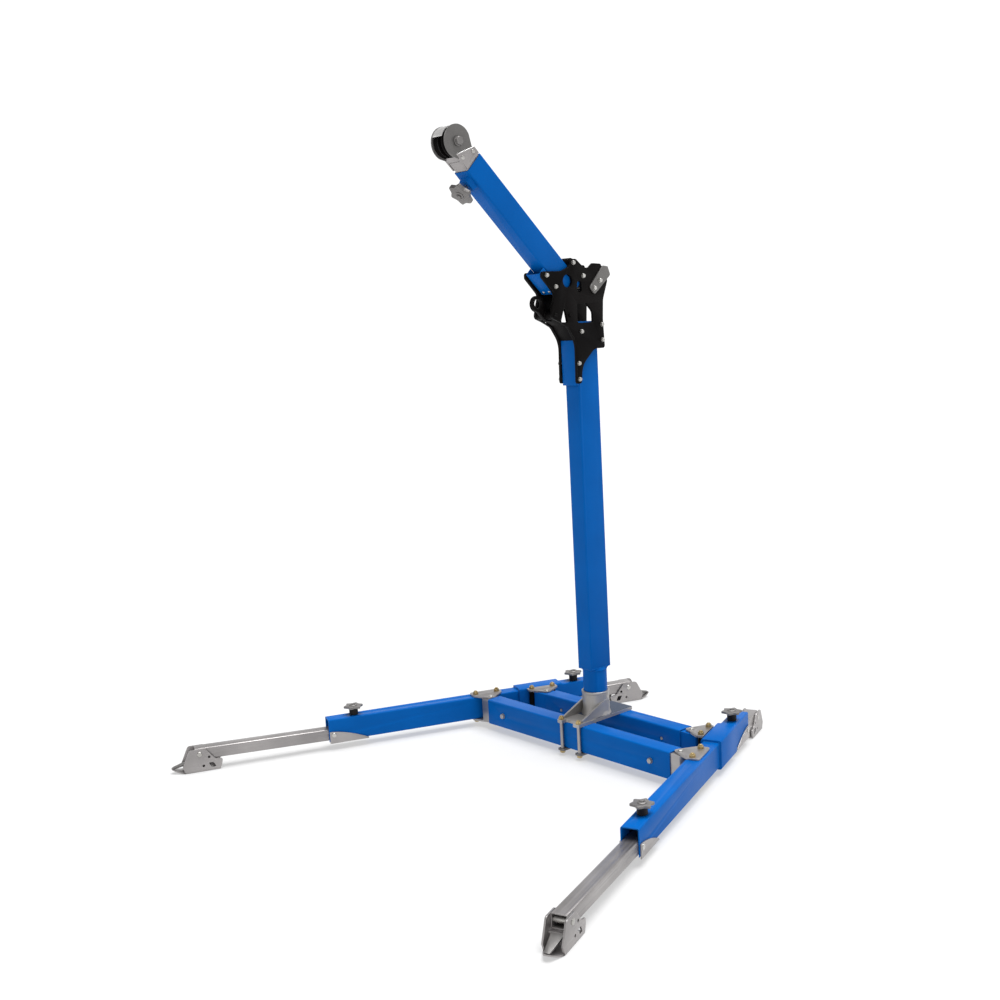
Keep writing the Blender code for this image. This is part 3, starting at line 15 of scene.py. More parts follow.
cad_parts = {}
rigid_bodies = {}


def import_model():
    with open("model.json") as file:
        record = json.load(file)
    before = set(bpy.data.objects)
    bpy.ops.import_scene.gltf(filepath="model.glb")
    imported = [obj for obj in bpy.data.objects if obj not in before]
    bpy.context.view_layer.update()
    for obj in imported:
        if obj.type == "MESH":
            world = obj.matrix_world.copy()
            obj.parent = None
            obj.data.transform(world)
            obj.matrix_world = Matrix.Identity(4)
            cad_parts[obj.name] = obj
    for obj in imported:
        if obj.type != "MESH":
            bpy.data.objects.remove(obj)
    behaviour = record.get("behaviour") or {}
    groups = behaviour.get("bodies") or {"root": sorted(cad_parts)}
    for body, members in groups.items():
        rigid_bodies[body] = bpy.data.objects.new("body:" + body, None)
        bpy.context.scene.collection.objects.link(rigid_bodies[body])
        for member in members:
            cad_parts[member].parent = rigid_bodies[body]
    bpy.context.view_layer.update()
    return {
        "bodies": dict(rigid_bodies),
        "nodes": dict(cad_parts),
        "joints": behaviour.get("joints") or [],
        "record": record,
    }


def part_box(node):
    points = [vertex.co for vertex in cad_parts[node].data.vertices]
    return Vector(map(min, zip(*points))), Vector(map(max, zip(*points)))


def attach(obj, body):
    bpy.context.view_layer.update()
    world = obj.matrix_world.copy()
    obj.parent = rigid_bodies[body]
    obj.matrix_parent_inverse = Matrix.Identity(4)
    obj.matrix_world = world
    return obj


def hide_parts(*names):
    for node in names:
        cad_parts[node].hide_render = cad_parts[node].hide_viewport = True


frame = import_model()
BODY_OF = {node: body for body, nodes in frame["record"]["behaviour"]["bodies"].items() for node in nodes}
PIECES = {}

# General fits
GAP = 0.0003                # between faces that touch
HOLE_FIT = 0.0008           # radial room round a bolt
RUNNING_FIT = 0.0006        # side room of a sliding or turning piece
HOLE_SIDES = 24
WELD = 0.0005               # overlap of shapes that are one piece
WASHER_THICKNESS = 0.0016
BOLT_SHARE = 0.8            # of a bolt's radius to its hole's
CUT_PAST = 0.01             # by which a cutting tool stands out of a piece
EASED_EDGE = 0.0006
EASE_ANGLE = math.radians(35)  # edges sharper than this are eased
SHARP_ANGLE = math.radians(34)  # and shaded as edges
FLAT_ANGLE = math.radians(0.5)  # faces closer than this are one

# Cross beams of the base
BEAM_DEPTH = 0.0572
BEAM_HEIGHT = 0.0846
BEAM_WALL = 0.0032
BEAM_SPACING = 0.168        # between the two beam centre lines
BEAM_BOTTOM_Z = 0.022
FRONT_BEAM_LENGTH = 0.8056
TUBE_CORNER = 0.005

# Aluminium inserts in the beam ends, which carry the hinges
INSERT_FIT = 0.001
INSERT_WALL = 0.0042
INSERT_IN_BEAM = 0.14
INSERT_BOLT_INSET = 0.075   # from the beam's end
INSERT_PIN_BOSS = 0.014     # solid end of an insert behind its hinge pin
INSERT_BOLT_RADIUS = 0.006
FRONT_INSERT_REACH = 0.0169  # hinge pin beyond the end of the front beam
REAR_INSERT_REACH = 0.0225565  # and of the rear beam
FRONT_INSERT_ROUND = 0.0303  # round end about the hinge pin
REAR_INSERT_ROUND = 0.044

# Leg rails
SPLAY_DEG = 21.7
RAIL_WIDTH = 0.0508
RAIL_HEIGHT = 0.0762
RAIL_WALL = 0.0032
FOLD_CLEARANCE = 0.0026     # between a folded front rail and the beam
FRONT_SEAM_BACK = 0.1105    # from the front hinge pin back to the seam
FRONT_RAIL_LENGTH = 0.667
REAR_RAIL_LENGTH = 0.309
SEAM_GAP = 0.001
SLEEVE_WALL = 0.0064        # reinforcing sleeve round the seam end of a rear rail
SLEEVE_CORNER = 0.007
SLEEVE_SETBACK = 0.002      # of the sleeve from the seam
SLEEVE_LENGTH = 0.16        # from the seam to the sleeve's far end
REAR_PIN_TO_RAIL = 0.0866   # from the rear hinge pin to the centre line of the rail

# Hinge plates, above and below each corner
HINGE_PLATE_THICKNESS = 0.006
HINGE_PIN_RADIUS = 0.0065
HINGE_PIN_BOSS = 0.016
HINGE_BOLT_SPREAD = 0.038   # along the rail, each side of the pin
HINGE_BOLT_BOSS = 0.015
FRONT_HINGE_BOLT_OUT = 0.05
REAR_HINGE_BOLT_OUT = 0.043
REAR_HINGE_SPACER_RADIUS = 0.01

# Leg mouth: pivot of the levelling leg, saddle and jack screw
MOUTH_PIN_INSET = 0.016
MOUTH_PIN_RADIUS = 0.006
MOUTH_NOTCH = 0.026
SADDLE_THICKNESS = 0.0035
SADDLE_LENGTH = 0.13
SADDLE_HEIGHT = 0.036
JACK_LEVER = 0.076          # from the mouth pin back to the jack screw
JACK_SCREW_RADIUS = 0.007
NUT_BLOCK_LENGTH = 0.032
NUT_BLOCK_HEIGHT = 0.02
JACK_SLOT_ROOM = 0.007      # past the screw, each way, for the tilt of the levelling leg
JACK_HUB_RADIUS = 0.0145
JACK_HUB_HEIGHT = 0.019
KNOB_RADIUS = 0.033
KNOB_THICKNESS = 0.012
KNOB_LOBES = 6
KNOB_LOBE_DEPTH = 0.0085
KNOB_LOBE_STEPS = 14

# Levelling legs
EXTENSION_WIDTH = 0.043
EXTENSION_HEIGHT = 0.038
EXTENSION_WALL = 0.0032
EXTENSION_REACH = 0.448     # from the mouth pin to the open end
EXTENSION_TAIL = 0.098      # from the mouth pin to the inner end
REST_TILT_DEG = 0.8
FRONT_SHOE_PIN_X = 0.435
REAR_SHOE_PIN_X = 0.125
REAR_EXTENSION_REACH = 0.138

# Foot shoes
SHOE_PIN_RADIUS = 0.006
SHOE_SIDE = 0.0045
SHOE_SOLE = 0.005
SHOE_HEEL = 0.062
SHOE_BALL = 0.056
SHOE_TOE = 0.088
SHOE_TOE_LIFT = 0.014
SHOE_TOP = 0.017
SHOE_HOLE = (-0.029, -0.0115, 0.0044)  # cross hole behind the foot pin, and its radius

# Mast socket on the beams
SOCKET_PLATE_THICKNESS = 0.01
SOCKET_PLATE_HALF_WIDTH = 0.048
SOCKET_PLATE_BEYOND = 0.006
SOCKET_WALL = 0.0042
SOCKET_SIDES = 64
SOCKET_TOP_Z = 0.1935
SOCKET_GUSSET = 0.007
SOCKET_GUSSET_X = 0.04
SOCKET_NOTCH = 0.025        # half width of the notch between its two ears
CLAMP_BOLT_RADIUS = 0.005
CLAMP_BOLT_X = 0.038
CLAMP_BOLT_OFF = 0.0072     # from the beam's face to the bolt axis
CLAMP_FLANGE = 0.011
CLAMP_STRAP_THICKNESS = 0.006
CLAMP_STRAP_WIDTH = 0.026

# Mast
SPIGOT_RADIUS = 0.038
SPIGOT_WALL = 0.005
MAST_BOTTOM_Z = 0.27
MAST_TOP_Z = 1.356
MAST_WIDTH = 0.06
MAST_DEPTH = 0.088
MAST_WALL = 0.0036
COLLAR_HEIGHT = 0.008

# Head plates
PLATE_THICKNESS = 0.0095
HEAD_BOLT_RADIUS = 0.005
ARM_STOP_RADIUS = 0.0145    # spacers that the back of the arm bears on
MAST_STOP_RADIUS = 0.0105   # spacers that the back of the mast bears on
EYE_SPACER_RADIUS = 0.012
ARM_BOLTS = (0.0184, -0.0303)  # under the arm, along it
ARM_BOLT_DROP = 0.052       # below the arm's centre line
ARM_STOPS = (-0.0365, -0.093)
MAST_BOLTS_DOWN = (0.125, 0.173)  # below the top of the mast
MAST_BOLT_OFF = 0.0065      # in front of the mast
MAST_STOPS_DOWN = (0.012, 0.059)

# Arm, which leans forward over the work side
ARM_RISE_DEG = 44.3
ARM_WIDTH = 0.06
ARM_HEIGHT = 0.072
ARM_WALL = 0.0032
ARM_REF_Y = -0.1195         # a point on the arm's centre line
ARM_REF_RISE = 0.1643       # and its height above the top of the mast
ARM_TIP = 0.414             # from that point up to the tip
ARM_ROOT = 0.105            # and down to the root
INNER_WALL = 0.0032
INNER_OUT = 0.036           # inner arm beyond the tip of the arm
INNER_IN = 0.35             # and inside it
MAST_SADDLE_DEPTH = 0.012
CHANNEL_WALL = 0.003
MAST_SADDLE_DOWN = (0.192, 0.056)  # its lower and upper ends, below the top of the mast
ARM_SADDLE_ENDS = (-0.05, 0.034)  # along the arm
ARM_SADDLE_DEPTH = 0.026
ARM_SADDLE_SCREW_X = 0.012
ARM_SADDLE_SCREW_IN = 0.009  # from its lower end
ARM_SADDLE_SCREW_RADIUS = 0.0034

# Sheave head at the tip
SHEAVE_RADIUS = 0.0405
SHEAVE_GROOVE = 0.007
SHEAVE_WIDTH = 0.019
SHEAVE_BORE = 0.008
SHEAVE_FLANGE = 0.003
SHEAVE_WASHER_RADIUS = 0.015
AXLE_BEYOND = 0.042         # sheave axle beyond the end of the inner arm
TIP_PLATE_THICKNESS = 0.0045
TIP_PLATE_RADIUS = 0.0465
TIP_STEP = 0.001            # of the plates behind their cuffs
TIP_CUFF = 0.0075           # mitred edge of the cuffs beyond the end of the inner arm, on its centre line
TIP_MITRE = math.radians(24.2)
TIP_GUARD = math.radians(26)  # half of the rope guard's arc
TIP_GUARD_SHORT = 0.0115    # of the right plate
TIP_BOLT_SPREAD = 0.019     # each side of the arm's centre line
TIP_BOLT_BACK = 0.014       # from the end of the inner arm
TIP_SCREW_DROP = 0.022      # of the lower screws, below the arm's centre line

# Clamp knob of the sliding arm
CLAMP_KNOB_BACK = 0.038     # from the tip of the arm
CLAMP_BOSS_HEIGHT = 0.016
CLAMP_BOSS_SIZE = 0.042
CLAMP_BOSS_TAPER = 0.86
CLAMP_SCREW_RADIUS = 0.006


# Procedural finishes

WEAR_WIDTH = 0.0015         # of worn edges
RELIEF_DEPTH = 0.0004
RAMP_PLACES = (0.35, 0.65)
EVEN = (1, 1, 1)


def feed(tree, node, inputs):
    """Set inputs of a node, each to a value or to the output socket that feeds it."""
    for key, value in inputs.items():
        if isinstance(value, bpy.types.NodeSocket):
            tree.links.new(value, node.inputs[key])
        else:
            node.inputs[key].default_value = value


def add_node(tree, kind, inputs, **settings):
    node = tree.nodes.new("ShaderNode" + kind)
    for key, value in settings.items():
        setattr(node, key, value)
    feed(tree, node, inputs)
    return node


def noise(tree, coords, scale, detail, stretch=EVEN):
    mapping = add_node(tree, "Mapping", {"Scale": stretch, "Vector": coords.outputs["Object"]})
    made = add_node(tree, "TexNoise", {"Scale": scale, "Detail": detail, "Vector": mapping.outputs["Vector"]})
    return made.outputs["Fac"]


def ramp(tree, source, low, high):
    made = add_node(tree, "ValToRGB", {"Fac": source})
    for element, place, colour in zip(made.color_ramp.elements, RAMP_PLACES, (low, high)):
        element.position = place
        element.color = (*colour, 1.0)
    return made.outputs["Color"]


def spread(tree, source, to_low, to_high, from_low=0.3, from_high=0.7):
    return add_node(tree, "MapRange", {"Value": source, "From Min": from_low, "From Max": from_high,
                                       "To Min": to_low, "To Max": to_high}).outputs["Result"]


def edge_wear(tree, coords, colour, worn):
    """Rub a finish through in patches along its edges."""
    eased = add_node(tree, "Bevel", {"Radius": WEAR_WIDTH}, samples=4)
    face = add_node(tree, "NewGeometry", {})
    turn = add_node(tree, "VectorMath", {0: eased.outputs["Normal"], 1: face.outputs["Normal"]},
                    operation="DOT_PRODUCT")
    edge = spread(tree, turn.outputs["Value"], 0.0, 1.0, 0.995, 0.9)
    patches = spread(tree, noise(tree, coords, 34, 6.0), -0.9, 1.4)
    both = add_node(tree, "Math", {0: edge, 1: patches}, operation="MULTIPLY")
    mix = tree.nodes.new("ShaderNodeMix")
    mix.data_type = "RGBA"
    feed(tree, mix, {0: both.outputs["Value"], 6: colour, 7: (*worn, 1.0)})
    return mix.outputs[2]


def finish(name, low, high, rough, metallic, grain, stretch, bump, specular=0.5, worn=None, blotch=6.0):
    """A finish whose colour drifts between two values, with its own grain, gloss, relief and wear."""
    made = bpy.data.materials.new(name + "_finish")
    made.use_nodes = True
    tree = made.node_tree
    coords = tree.nodes.new("ShaderNodeTexCoord")
    colour = ramp(tree, noise(tree, coords, blotch, 5.0), low, high)
    if worn:
        colour = edge_wear(tree, coords, colour, worn)
    fine = noise(tree, coords, grain, 4.0, stretch)
    relief = add_node(tree, "Bump", {"Strength": bump, "Distance": RELIEF_DEPTH, "Height": fine})
    feed(tree, tree.nodes["Principled BSDF"], {
        "Metallic": metallic, "Specular IOR Level": specular, "Base Color": colour,
        "Roughness": spread(tree, fine, *rough), "Normal": relief.outputs["Normal"]})
    return made


# name: darkest and lightest colour, roughness range, metallic, grain size, its stretch, relief,
# specular level, colour of worn edges
FINISHES = {
    "powder_blue": ((0.0, 0.088, 0.35), (0.0, 0.102, 0.4), (0.34, 0.46), 0.0, 700, EVEN, 0.16,
                    0.05, (0.06, 0.15, 0.32)),
    "black_plate": ((0.0025, 0.002, 0.002), (0.006, 0.005, 0.005), (0.4, 0.56), 0.0, 600, EVEN, 0.2,
                    0.05, (0.045, 0.045, 0.045)),
    "bare_aluminium": ((0.275, 0.262, 0.26), (0.38, 0.362, 0.358), (0.3, 0.48), 0.85, 60, (0.06, 5, 5), 0.14,
                       0.5, (0.66, 0.65, 0.64)),
    "zinc_steel": ((0.34, 0.24, 0.1), (0.56, 0.43, 0.21), (0.24, 0.4), 0.9, 160, EVEN, 0.1),
    "bright_zinc": ((0.36, 0.35, 0.33), (0.54, 0.53, 0.51), (0.22, 0.38), 0.9, 160, EVEN, 0.08),
    # Near-white polished metal: the rope guard, and painted highlight along the cuffs' mitred edges
    "polished": ((0.72, 0.71, 0.7), (0.86, 0.85, 0.84), (0.18, 0.3), 0.7, 160, EVEN, 0.05),
    "cast_grey": ((0.155, 0.148, 0.145), (0.245, 0.235, 0.23), (0.4, 0.56), 0.6, 420, EVEN, 0.35,
                  0.5, (0.44, 0.43, 0.42)),
    "dark_grey": ((0.115, 0.11, 0.108), (0.165, 0.16, 0.155), (0.38, 0.54), 0.5, 300, EVEN, 0.2,
                  0.4, (0.5, 0.49, 0.48)),
    "cast_aluminium": ((0.3, 0.29, 0.285), (0.43, 0.42, 0.41), (0.36, 0.54), 0.8, 380, EVEN, 0.3,
                       0.5, (0.66, 0.65, 0.64)),
    # Dark blue-grey of the sheet on the socket plate's top: painted shade
    "slate": ((0.028, 0.042, 0.074), (0.044, 0.062, 0.1), (0.4, 0.55), 0.2, 240, EVEN, 0.2, 0.2),
    "black_rubber": ((0.006, 0.005, 0.005), (0.014, 0.013, 0.013), (0.55, 0.7), 0.0, 500, EVEN, 0.25, 0.2),
}
# A material for each finish
MATERIALS = {name: finish(name, *values) for name, values in FINISHES.items()}


# Pieces. A place is the matrix of the frame that a piece is drawn in

def placed(location, turn=None, parent=None):
    place = Matrix.Translation(location)
    if turn:
        place = place @ Euler(turn).to_matrix().to_4x4()
    return place if parent is None else parent @ place


def link_object(name, data):
    made = bpy.data.objects.new(name, data)
    bpy.context.collection.objects.link(made)
    return made


def mesh_from(name, bm):
    """A mesh from a bmesh, which is used up."""
    mesh = bpy.data.meshes.new(name)
    bm.to_mesh(mesh)
    bm.free()
    return mesh


def add_object(name, bm, finish_name, place, beside=None, bevel=EASED_EDGE):
    """Turn a bmesh into a finished piece. Its name is the node that it stands for, unless it is
    extra hardware beside one."""
    bmesh.ops.remove_doubles(bm, verts=bm.verts, dist=1e-7)
    bmesh.ops.recalc_face_normals(bm, faces=bm.faces)
    made = link_object(name + "_piece", mesh_from(name + "_piece", bm))
    made.matrix_world = place
    made.data.materials.append(MATERIALS[finish_name])
    node = beside or name
    PIECES[made] = {"name": node, "stands_for": not beside, "finish": finish_name, "bevel": bevel, "tools": []}
    return made


def boolean(target, tool_bm, operation, label):
    bmesh.ops.recalc_face_normals(tool_bm, faces=tool_bm.faces)
    label = target.name + "_" + label
    tool = link_object(label, mesh_from(label, tool_bm))
    tool.matrix_world = target.matrix_world
    change = target.modifiers.new(label, "BOOLEAN")
    change.operation = operation
    change.solver = "EXACT"
    change.object = tool
    PIECES[target]["tools"].append(tool)


def cut(target, tool_bm, label):
    boolean(target, tool_bm, "DIFFERENCE", label)


def fuse(target, tool_bm, label):
    boolean(target, tool_bm, "UNION", label)


def fit(target, bm, label, finish_name="zinc_steel", bevel=0.0):
    """Hardware that goes with a piece, in its own finish."""
    node = PIECES[target]["name"]
    return add_object(node + "_" + label, bm, finish_name, target.matrix_world.copy(), node, bevel)


def apply_modifiers(piece):
    """Apply a piece's modifiers."""
    bpy.context.view_layer.update()
    graph = bpy.context.evaluated_depsgraph_get()
    mesh = bpy.data.meshes.new_from_object(piece.evaluated_get(graph))
    piece.modifiers.clear()
    piece.data = mesh


def complete(piece, row):
    """Apply the cuts, ease the edges, shade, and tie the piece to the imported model."""
    if piece.modifiers:
        apply_modifiers(piece)
    for tool in row["tools"]:
        bpy.data.objects.remove(tool)
    if row["bevel"]:
        bm = bmesh.new()
        bm.from_mesh(piece.data)
        bmesh.ops.dissolve_limit(bm, angle_limit=FLAT_ANGLE, verts=bm.verts, edges=bm.edges)
        bm.to_mesh(piece.data)
        bm.free()
        ease = piece.modifiers.new("ease", "BEVEL")
        ease.width = row["bevel"]
        ease.segments = 2
        ease.limit_method = "ANGLE"
        ease.angle_limit = EASE_ANGLE
        apply_modifiers(piece)
    piece.data.shade_smooth()
    piece.data.set_sharp_from_angle(angle=SHARP_ANGLE)
    if row["stands_for"]:
        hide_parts(row["name"])
    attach(piece, BODY_OF[row["name"]])


# Outlines and solids

def rounded(corners, steps=5):
    """Round each (u, v, radius) corner of an outline with an arc."""
    points = []
    count = len(corners)
    for index, (u, v, radius) in enumerate(corners):
        here = Vector((u, v))
        before = Vector(corners[index - 1][:2]) - here
        after = Vector(corners[(index + 1) % count][:2]) - here
        if radius <= 0:
            points.append((u, v))
            continue
        half = before.angle(after) / 2
        reach = radius / math.tan(half)
        start = here + before.normalized() * reach
        end = here + after.normalized() * reach
        centre = here + (before.normalized() + after.normalized()).normalized() * radius / math.sin(half)
        first = math.atan2(start.y - centre.y, start.x - centre.x)
        sweep = math.atan2(end.y - centre.y, end.x - centre.x) - first
        sweep = (sweep + math.pi) % (2 * math.pi) - math.pi
        for step in range(steps + 1):
            angle = first + sweep * step / steps
            points.append((centre.x + radius * math.cos(angle), centre.y + radius * math.sin(angle)))
    return points


def rectangle(width, height, radius, centre=(0.0, 0.0), steps=5):
    u, v = centre
    half_w, half_h = width / 2, height / 2
    return rounded([(u - half_w, v - half_h, radius), (u + half_w, v - half_h, radius),
                    (u + half_w, v + half_h, radius), (u - half_w, v + half_h, radius)], steps)


def circle(centre, radius, sides=HOLE_SIDES):
    return [(centre[0] + radius * math.cos(2 * math.pi * i / sides),
             centre[1] + radius * math.sin(2 * math.pi * i / sides)) for i in range(sides)]


def join_loops(bm, loops):
    """Join each loop of vertices to the next with a band of quads."""
    for low, high in zip(loops, loops[1:]):
        for i in range(len(low)):
            bm.faces.new((low[i - 1], low[i], high[i], high[i - 1]))


AXES = {
    "XY": lambda u, v, w: (u, v, w),
    "YZ": lambda u, v, w: (w, u, v),
    "XZ": lambda u, v, w: (u, w, v),
}


def slab(bm, outer, w_low, w_high, plane="XY", holes=()):
    """Extrude an outline with holes from w_low to w_high, square to its plane."""
    place = AXES[plane]
    loops = [outer, *holes]
    flat = tessellate_polygon([[Vector((u, v, 0)) for u, v in loop] for loop in loops])
    low = [[bm.verts.new(place(u, v, w_low)) for u, v in loop] for loop in loops]
    high = [[bm.verts.new(place(u, v, w_high)) for u, v in loop] for loop in loops]
    low_verts = [vert for loop in low for vert in loop]
    high_verts = [vert for loop in high for vert in loop]
    for a, b, c in flat:
        bm.faces.new((low_verts[a], low_verts[b], low_verts[c]))
        bm.faces.new((high_verts[c], high_verts[b], high_verts[a]))
    for under, over in zip(low, high):
        join_loops(bm, [under, over])
    return bm


def plate(name, outer, w_low, w_high, plane, finish_name, place, holes=()):
    return add_object(name, slab(bmesh.new(), outer, w_low, w_high, plane, holes), finish_name, place)


def rod(bm, start, end, radius, sides=HOLE_SIDES):
    """A plain round bar between two points."""
    start, end = Vector(start), Vector(end)
    run = end - start
    turn = run.to_track_quat("Z", "Y").to_matrix().to_4x4()
    bmesh.ops.create_cone(bm, cap_ends=True, segments=sides, radius1=radius, radius2=radius,
                          depth=run.length, matrix=Matrix.Translation((start + end) / 2) @ turn)
    return bm


def block(bm, low, high):
    size = Vector(high) - Vector(low)
    middle = (Vector(high) + Vector(low)) / 2
    scale = Matrix.Diagonal((*size, 1.0))
    bmesh.ops.create_cube(bm, size=1.0, matrix=Matrix.Translation(middle) @ scale)
    return bm


def ring(bm, size, height, turn, sides, shape="round"):
    """One section of a fastener: points on a circle, or on a hexagon with that corner radius."""
    verts = []
    for index in range(sides):
        angle = 2 * math.pi * index / sides
        reach = size
        if shape == "hex":
            reach = size * math.cos(math.pi / 6) / math.cos(angle % (math.pi / 3) - math.pi / 6)
        verts.append(bm.verts.new(turn @ Vector((reach * math.cos(angle), reach * math.sin(angle), height))))
    return verts


def fastener(bm, start, direction, sections):
    """Stack of (height, size) sections along a direction, closed at both ends. A third value,
    "hex", makes a section six-sided."""
    turn = Matrix.Translation(start) @ Vector(direction).to_track_quat("Z", "Y").to_matrix().to_4x4()
    rings = [ring(bm, size, height, turn, HOLE_SIDES, *shape) for height, size, *shape in sections]
    join_loops(bm, rings)
    bm.faces.new(rings[0])
    bm.faces.new(rings[-1])
    return bm


def through_bolt(bm, start, direction, grip, radius, head=True, collar=None):
    """Chamfered hex head, washers, shank, locking nut and thread end round a grip."""
    across = radius * 1.75
    flat = across * 0.86
    washer = radius * 1.85
    thin = WASHER_THICKNESS * 0.8
    if head:
        sections = [(-thin - radius * 1.35, flat * 0.94), (-thin - radius * 1.15, across, "hex"),
                    (-thin, across, "hex"), (-thin, washer), (0, washer), (0, radius)]
    else:
        sections = [(-0.0002, radius * 1.9), (radius * 0.9, radius)]
    if collar:
        low, high, thick = collar
        sections += [(low, radius), (low, thick), (high, thick), (high, radius)]
    nut = grip + thin
    sections += [(grip, radius), (grip, washer), (nut, washer), (nut, across, "hex"),
                 (nut + radius * 1.1, across, "hex"), (nut + radius * 1.2, flat),
                 (nut + radius * 1.5, flat * 0.9), (nut + radius * 1.5, radius * 0.96),
                 (nut + radius * 1.9, radius * 0.96), (nut + radius * 2.0, radius * 0.8)]
    return fastener(bm, start, direction, sections)


def button(bm, start, direction, length, radius, both_ends=False):
    """Low domed head on a plain shank, which may have the same head on its far end."""
    wide = radius * 1.4
    dome = [(0, wide), (radius * 0.12, wide), (radius * 0.38, wide * 0.86), (radius * 0.5, wide * 0.55)]
    sections = [(-rise, size) for rise, size in reversed(dome)] + [(0, radius), (length, radius)]
    if both_ends:
        sections += [(length + rise, size) for rise, size in dome]
    return fastener(bm, start, direction, sections)


def pivot_pin(bm, start, direction, grip, radius):
    return button(bm, start, direction, grip, radius, both_ends=True)


BEAD_STEP = 0.55            # of its radius
BEAD_RIPPLE = 0.14
BEAD_RIPPLE_TURN = 1.9      # per step, in radians


def bead(target, points, radius, label):
    """Rippled weld bead along a closed line of points, in the target's frame and finish."""
    bm = bmesh.new()
    run = [Vector(point) for point in points]
    spots = []
    for a, b in zip(run, run[1:] + run[:1]):
        pieces = max(2, int((b - a).length / (radius * BEAD_STEP)))
        spots += [a.lerp(b, i / pieces) for i in range(pieces)]
    loops = []
    for i, spot in enumerate(spots):
        turn = (spots[(i + 1) % len(spots)] - spots[i - 1]).to_track_quat("Z", "Y").to_matrix()
        size = radius * (1 - BEAD_RIPPLE + BEAD_RIPPLE * math.cos(i * BEAD_RIPPLE_TURN))
        loops.append([bm.verts.new(spot + turn @ Vector((u, v, 0))) for u, v in circle((0, 0), size, 8)])
    join_loops(bm, loops + loops[:1])
    fit(target, bm, label, PIECES[target]["finish"])


def turned(profile, sides, matrix=None):
    """Revolve a closed (radius, height) profile about Z into a ring-shaped body."""
    bm = bmesh.new()
    loops = [[bm.verts.new((u, v, height)) for u, v in circle((0, 0), radius, sides)]
             for radius, height in profile]
    join_loops(bm, loops + loops[:1])
    if matrix:
        bmesh.ops.transform(bm, matrix=matrix, verts=bm.verts)
    return bm


def tube(name, width, height, wall, length_low, length_high, plane, centre, finish_name, place):
    """Rectangular tube with rounded corners along the axis that its plane leaves out."""
    outer = rectangle(width, height, TUBE_CORNER, centre)
    inner = rectangle(width - 2 * wall, height - 2 * wall, max(TUBE_CORNER - wall, 0.0012), centre)
    return plate(name, outer, length_low, length_high, plane, finish_name, place, [inner])


def upright(bm, spot, low, high, radius, sides=HOLE_SIDES):
    return rod(bm, (*spot, low), (*spot, high), radius, sides)


def cross_rods(spots, reach, radius, sides=HOLE_SIDES):
    """Round bars along X, through points (y, z) of the frame."""
    bm = bmesh.new()
    for y, z in spots:
        rod(bm, (-reach, y, z), (reach, y, z), radius, sides)
    return bm


def star(radius):
    """Outline of a hand knob with pointed lobes."""
    points = []
    count = KNOB_LOBES * KNOB_LOBE_STEPS
    for i in range(count):
        angle = 2 * math.pi * i / count
        reach = radius - KNOB_LOBE_DEPTH * abs(math.sin(KNOB_LOBES * angle / 2)) ** 1.2
        points.append((reach * math.cos(angle), reach * math.sin(angle)))
    return points


# Places that several pieces share

SIDES = {-1: "left", 1: "right"}
BEAM_TOP_Z = BEAM_BOTTOM_Z + BEAM_HEIGHT
BEAM_MID_Z = BEAM_BOTTOM_Z + BEAM_HEIGHT / 2
RAIL_BOTTOM_Z = BEAM_MID_Z - RAIL_HEIGHT / 2
RAIL_TOP_Z = BEAM_MID_Z + RAIL_HEIGHT / 2
BEAM_Y = BEAM_SPACING / 2
SPLAY = math.radians(SPLAY_DEG)
FRONT_PIN_X = FRONT_BEAM_LENGTH / 2 + FRONT_INSERT_REACH
FRONT_PIN_TO_RAIL = BEAM_DEPTH / 2 + FOLD_CLEARANCE + RAIL_WIDTH / 2

# The rear hinge pin stands where both rails of a side lie on one line
RAIL_LINE_OUT = (FRONT_PIN_X * math.cos(SPLAY) - BEAM_Y * math.sin(SPLAY) + FRONT_PIN_TO_RAIL)
REAR_PIN_X = (RAIL_LINE_OUT - REAR_PIN_TO_RAIL - BEAM_Y * math.sin(SPLAY)) / math.cos(SPLAY)
REAR_BEAM_LENGTH = 2 * (REAR_PIN_X - REAR_INSERT_REACH)

# The seam, measured back along the rail from each hinge pin
FRONT_PIN_ALONG = FRONT_PIN_X * math.sin(SPLAY) + BEAM_Y * math.cos(SPLAY)
REAR_PIN_ALONG = REAR_PIN_X * math.sin(SPLAY) - BEAM_Y * math.cos(SPLAY)
REAR_SEAM_BACK = FRONT_PIN_ALONG - FRONT_SEAM_BACK - REAR_PIN_ALONG - SEAM_GAP

MOUTH_PIN_Z = (RAIL_BOTTOM_Z + RAIL_WALL + 0.0005 + EXTENSION_HEIGHT / 2
               + EXTENSION_TAIL * math.sin(math.radians(REST_TILT_DEG)))
SOCKET_PLATE_Z = BEAM_TOP_Z + GAP
SOCKET_FLOOR_Z = SOCKET_PLATE_Z + SOCKET_PLATE_THICKNESS
PLATE_INNER_X = MAST_WIDTH / 2 + GAP
ARM_RISE = math.radians(ARM_RISE_DEG)
ARM_REF_Z = MAST_TOP_Z + ARM_REF_RISE


def arm_point(along, above):
    """Point (y, z) at a distance along the arm towards its tip, and above its centre line."""
    return (ARM_REF_Y - along * math.cos(ARM_RISE) + above * math.sin(ARM_RISE),
            ARM_REF_Z + along * math.sin(ARM_RISE) + above * math.cos(ARM_RISE))


# Base

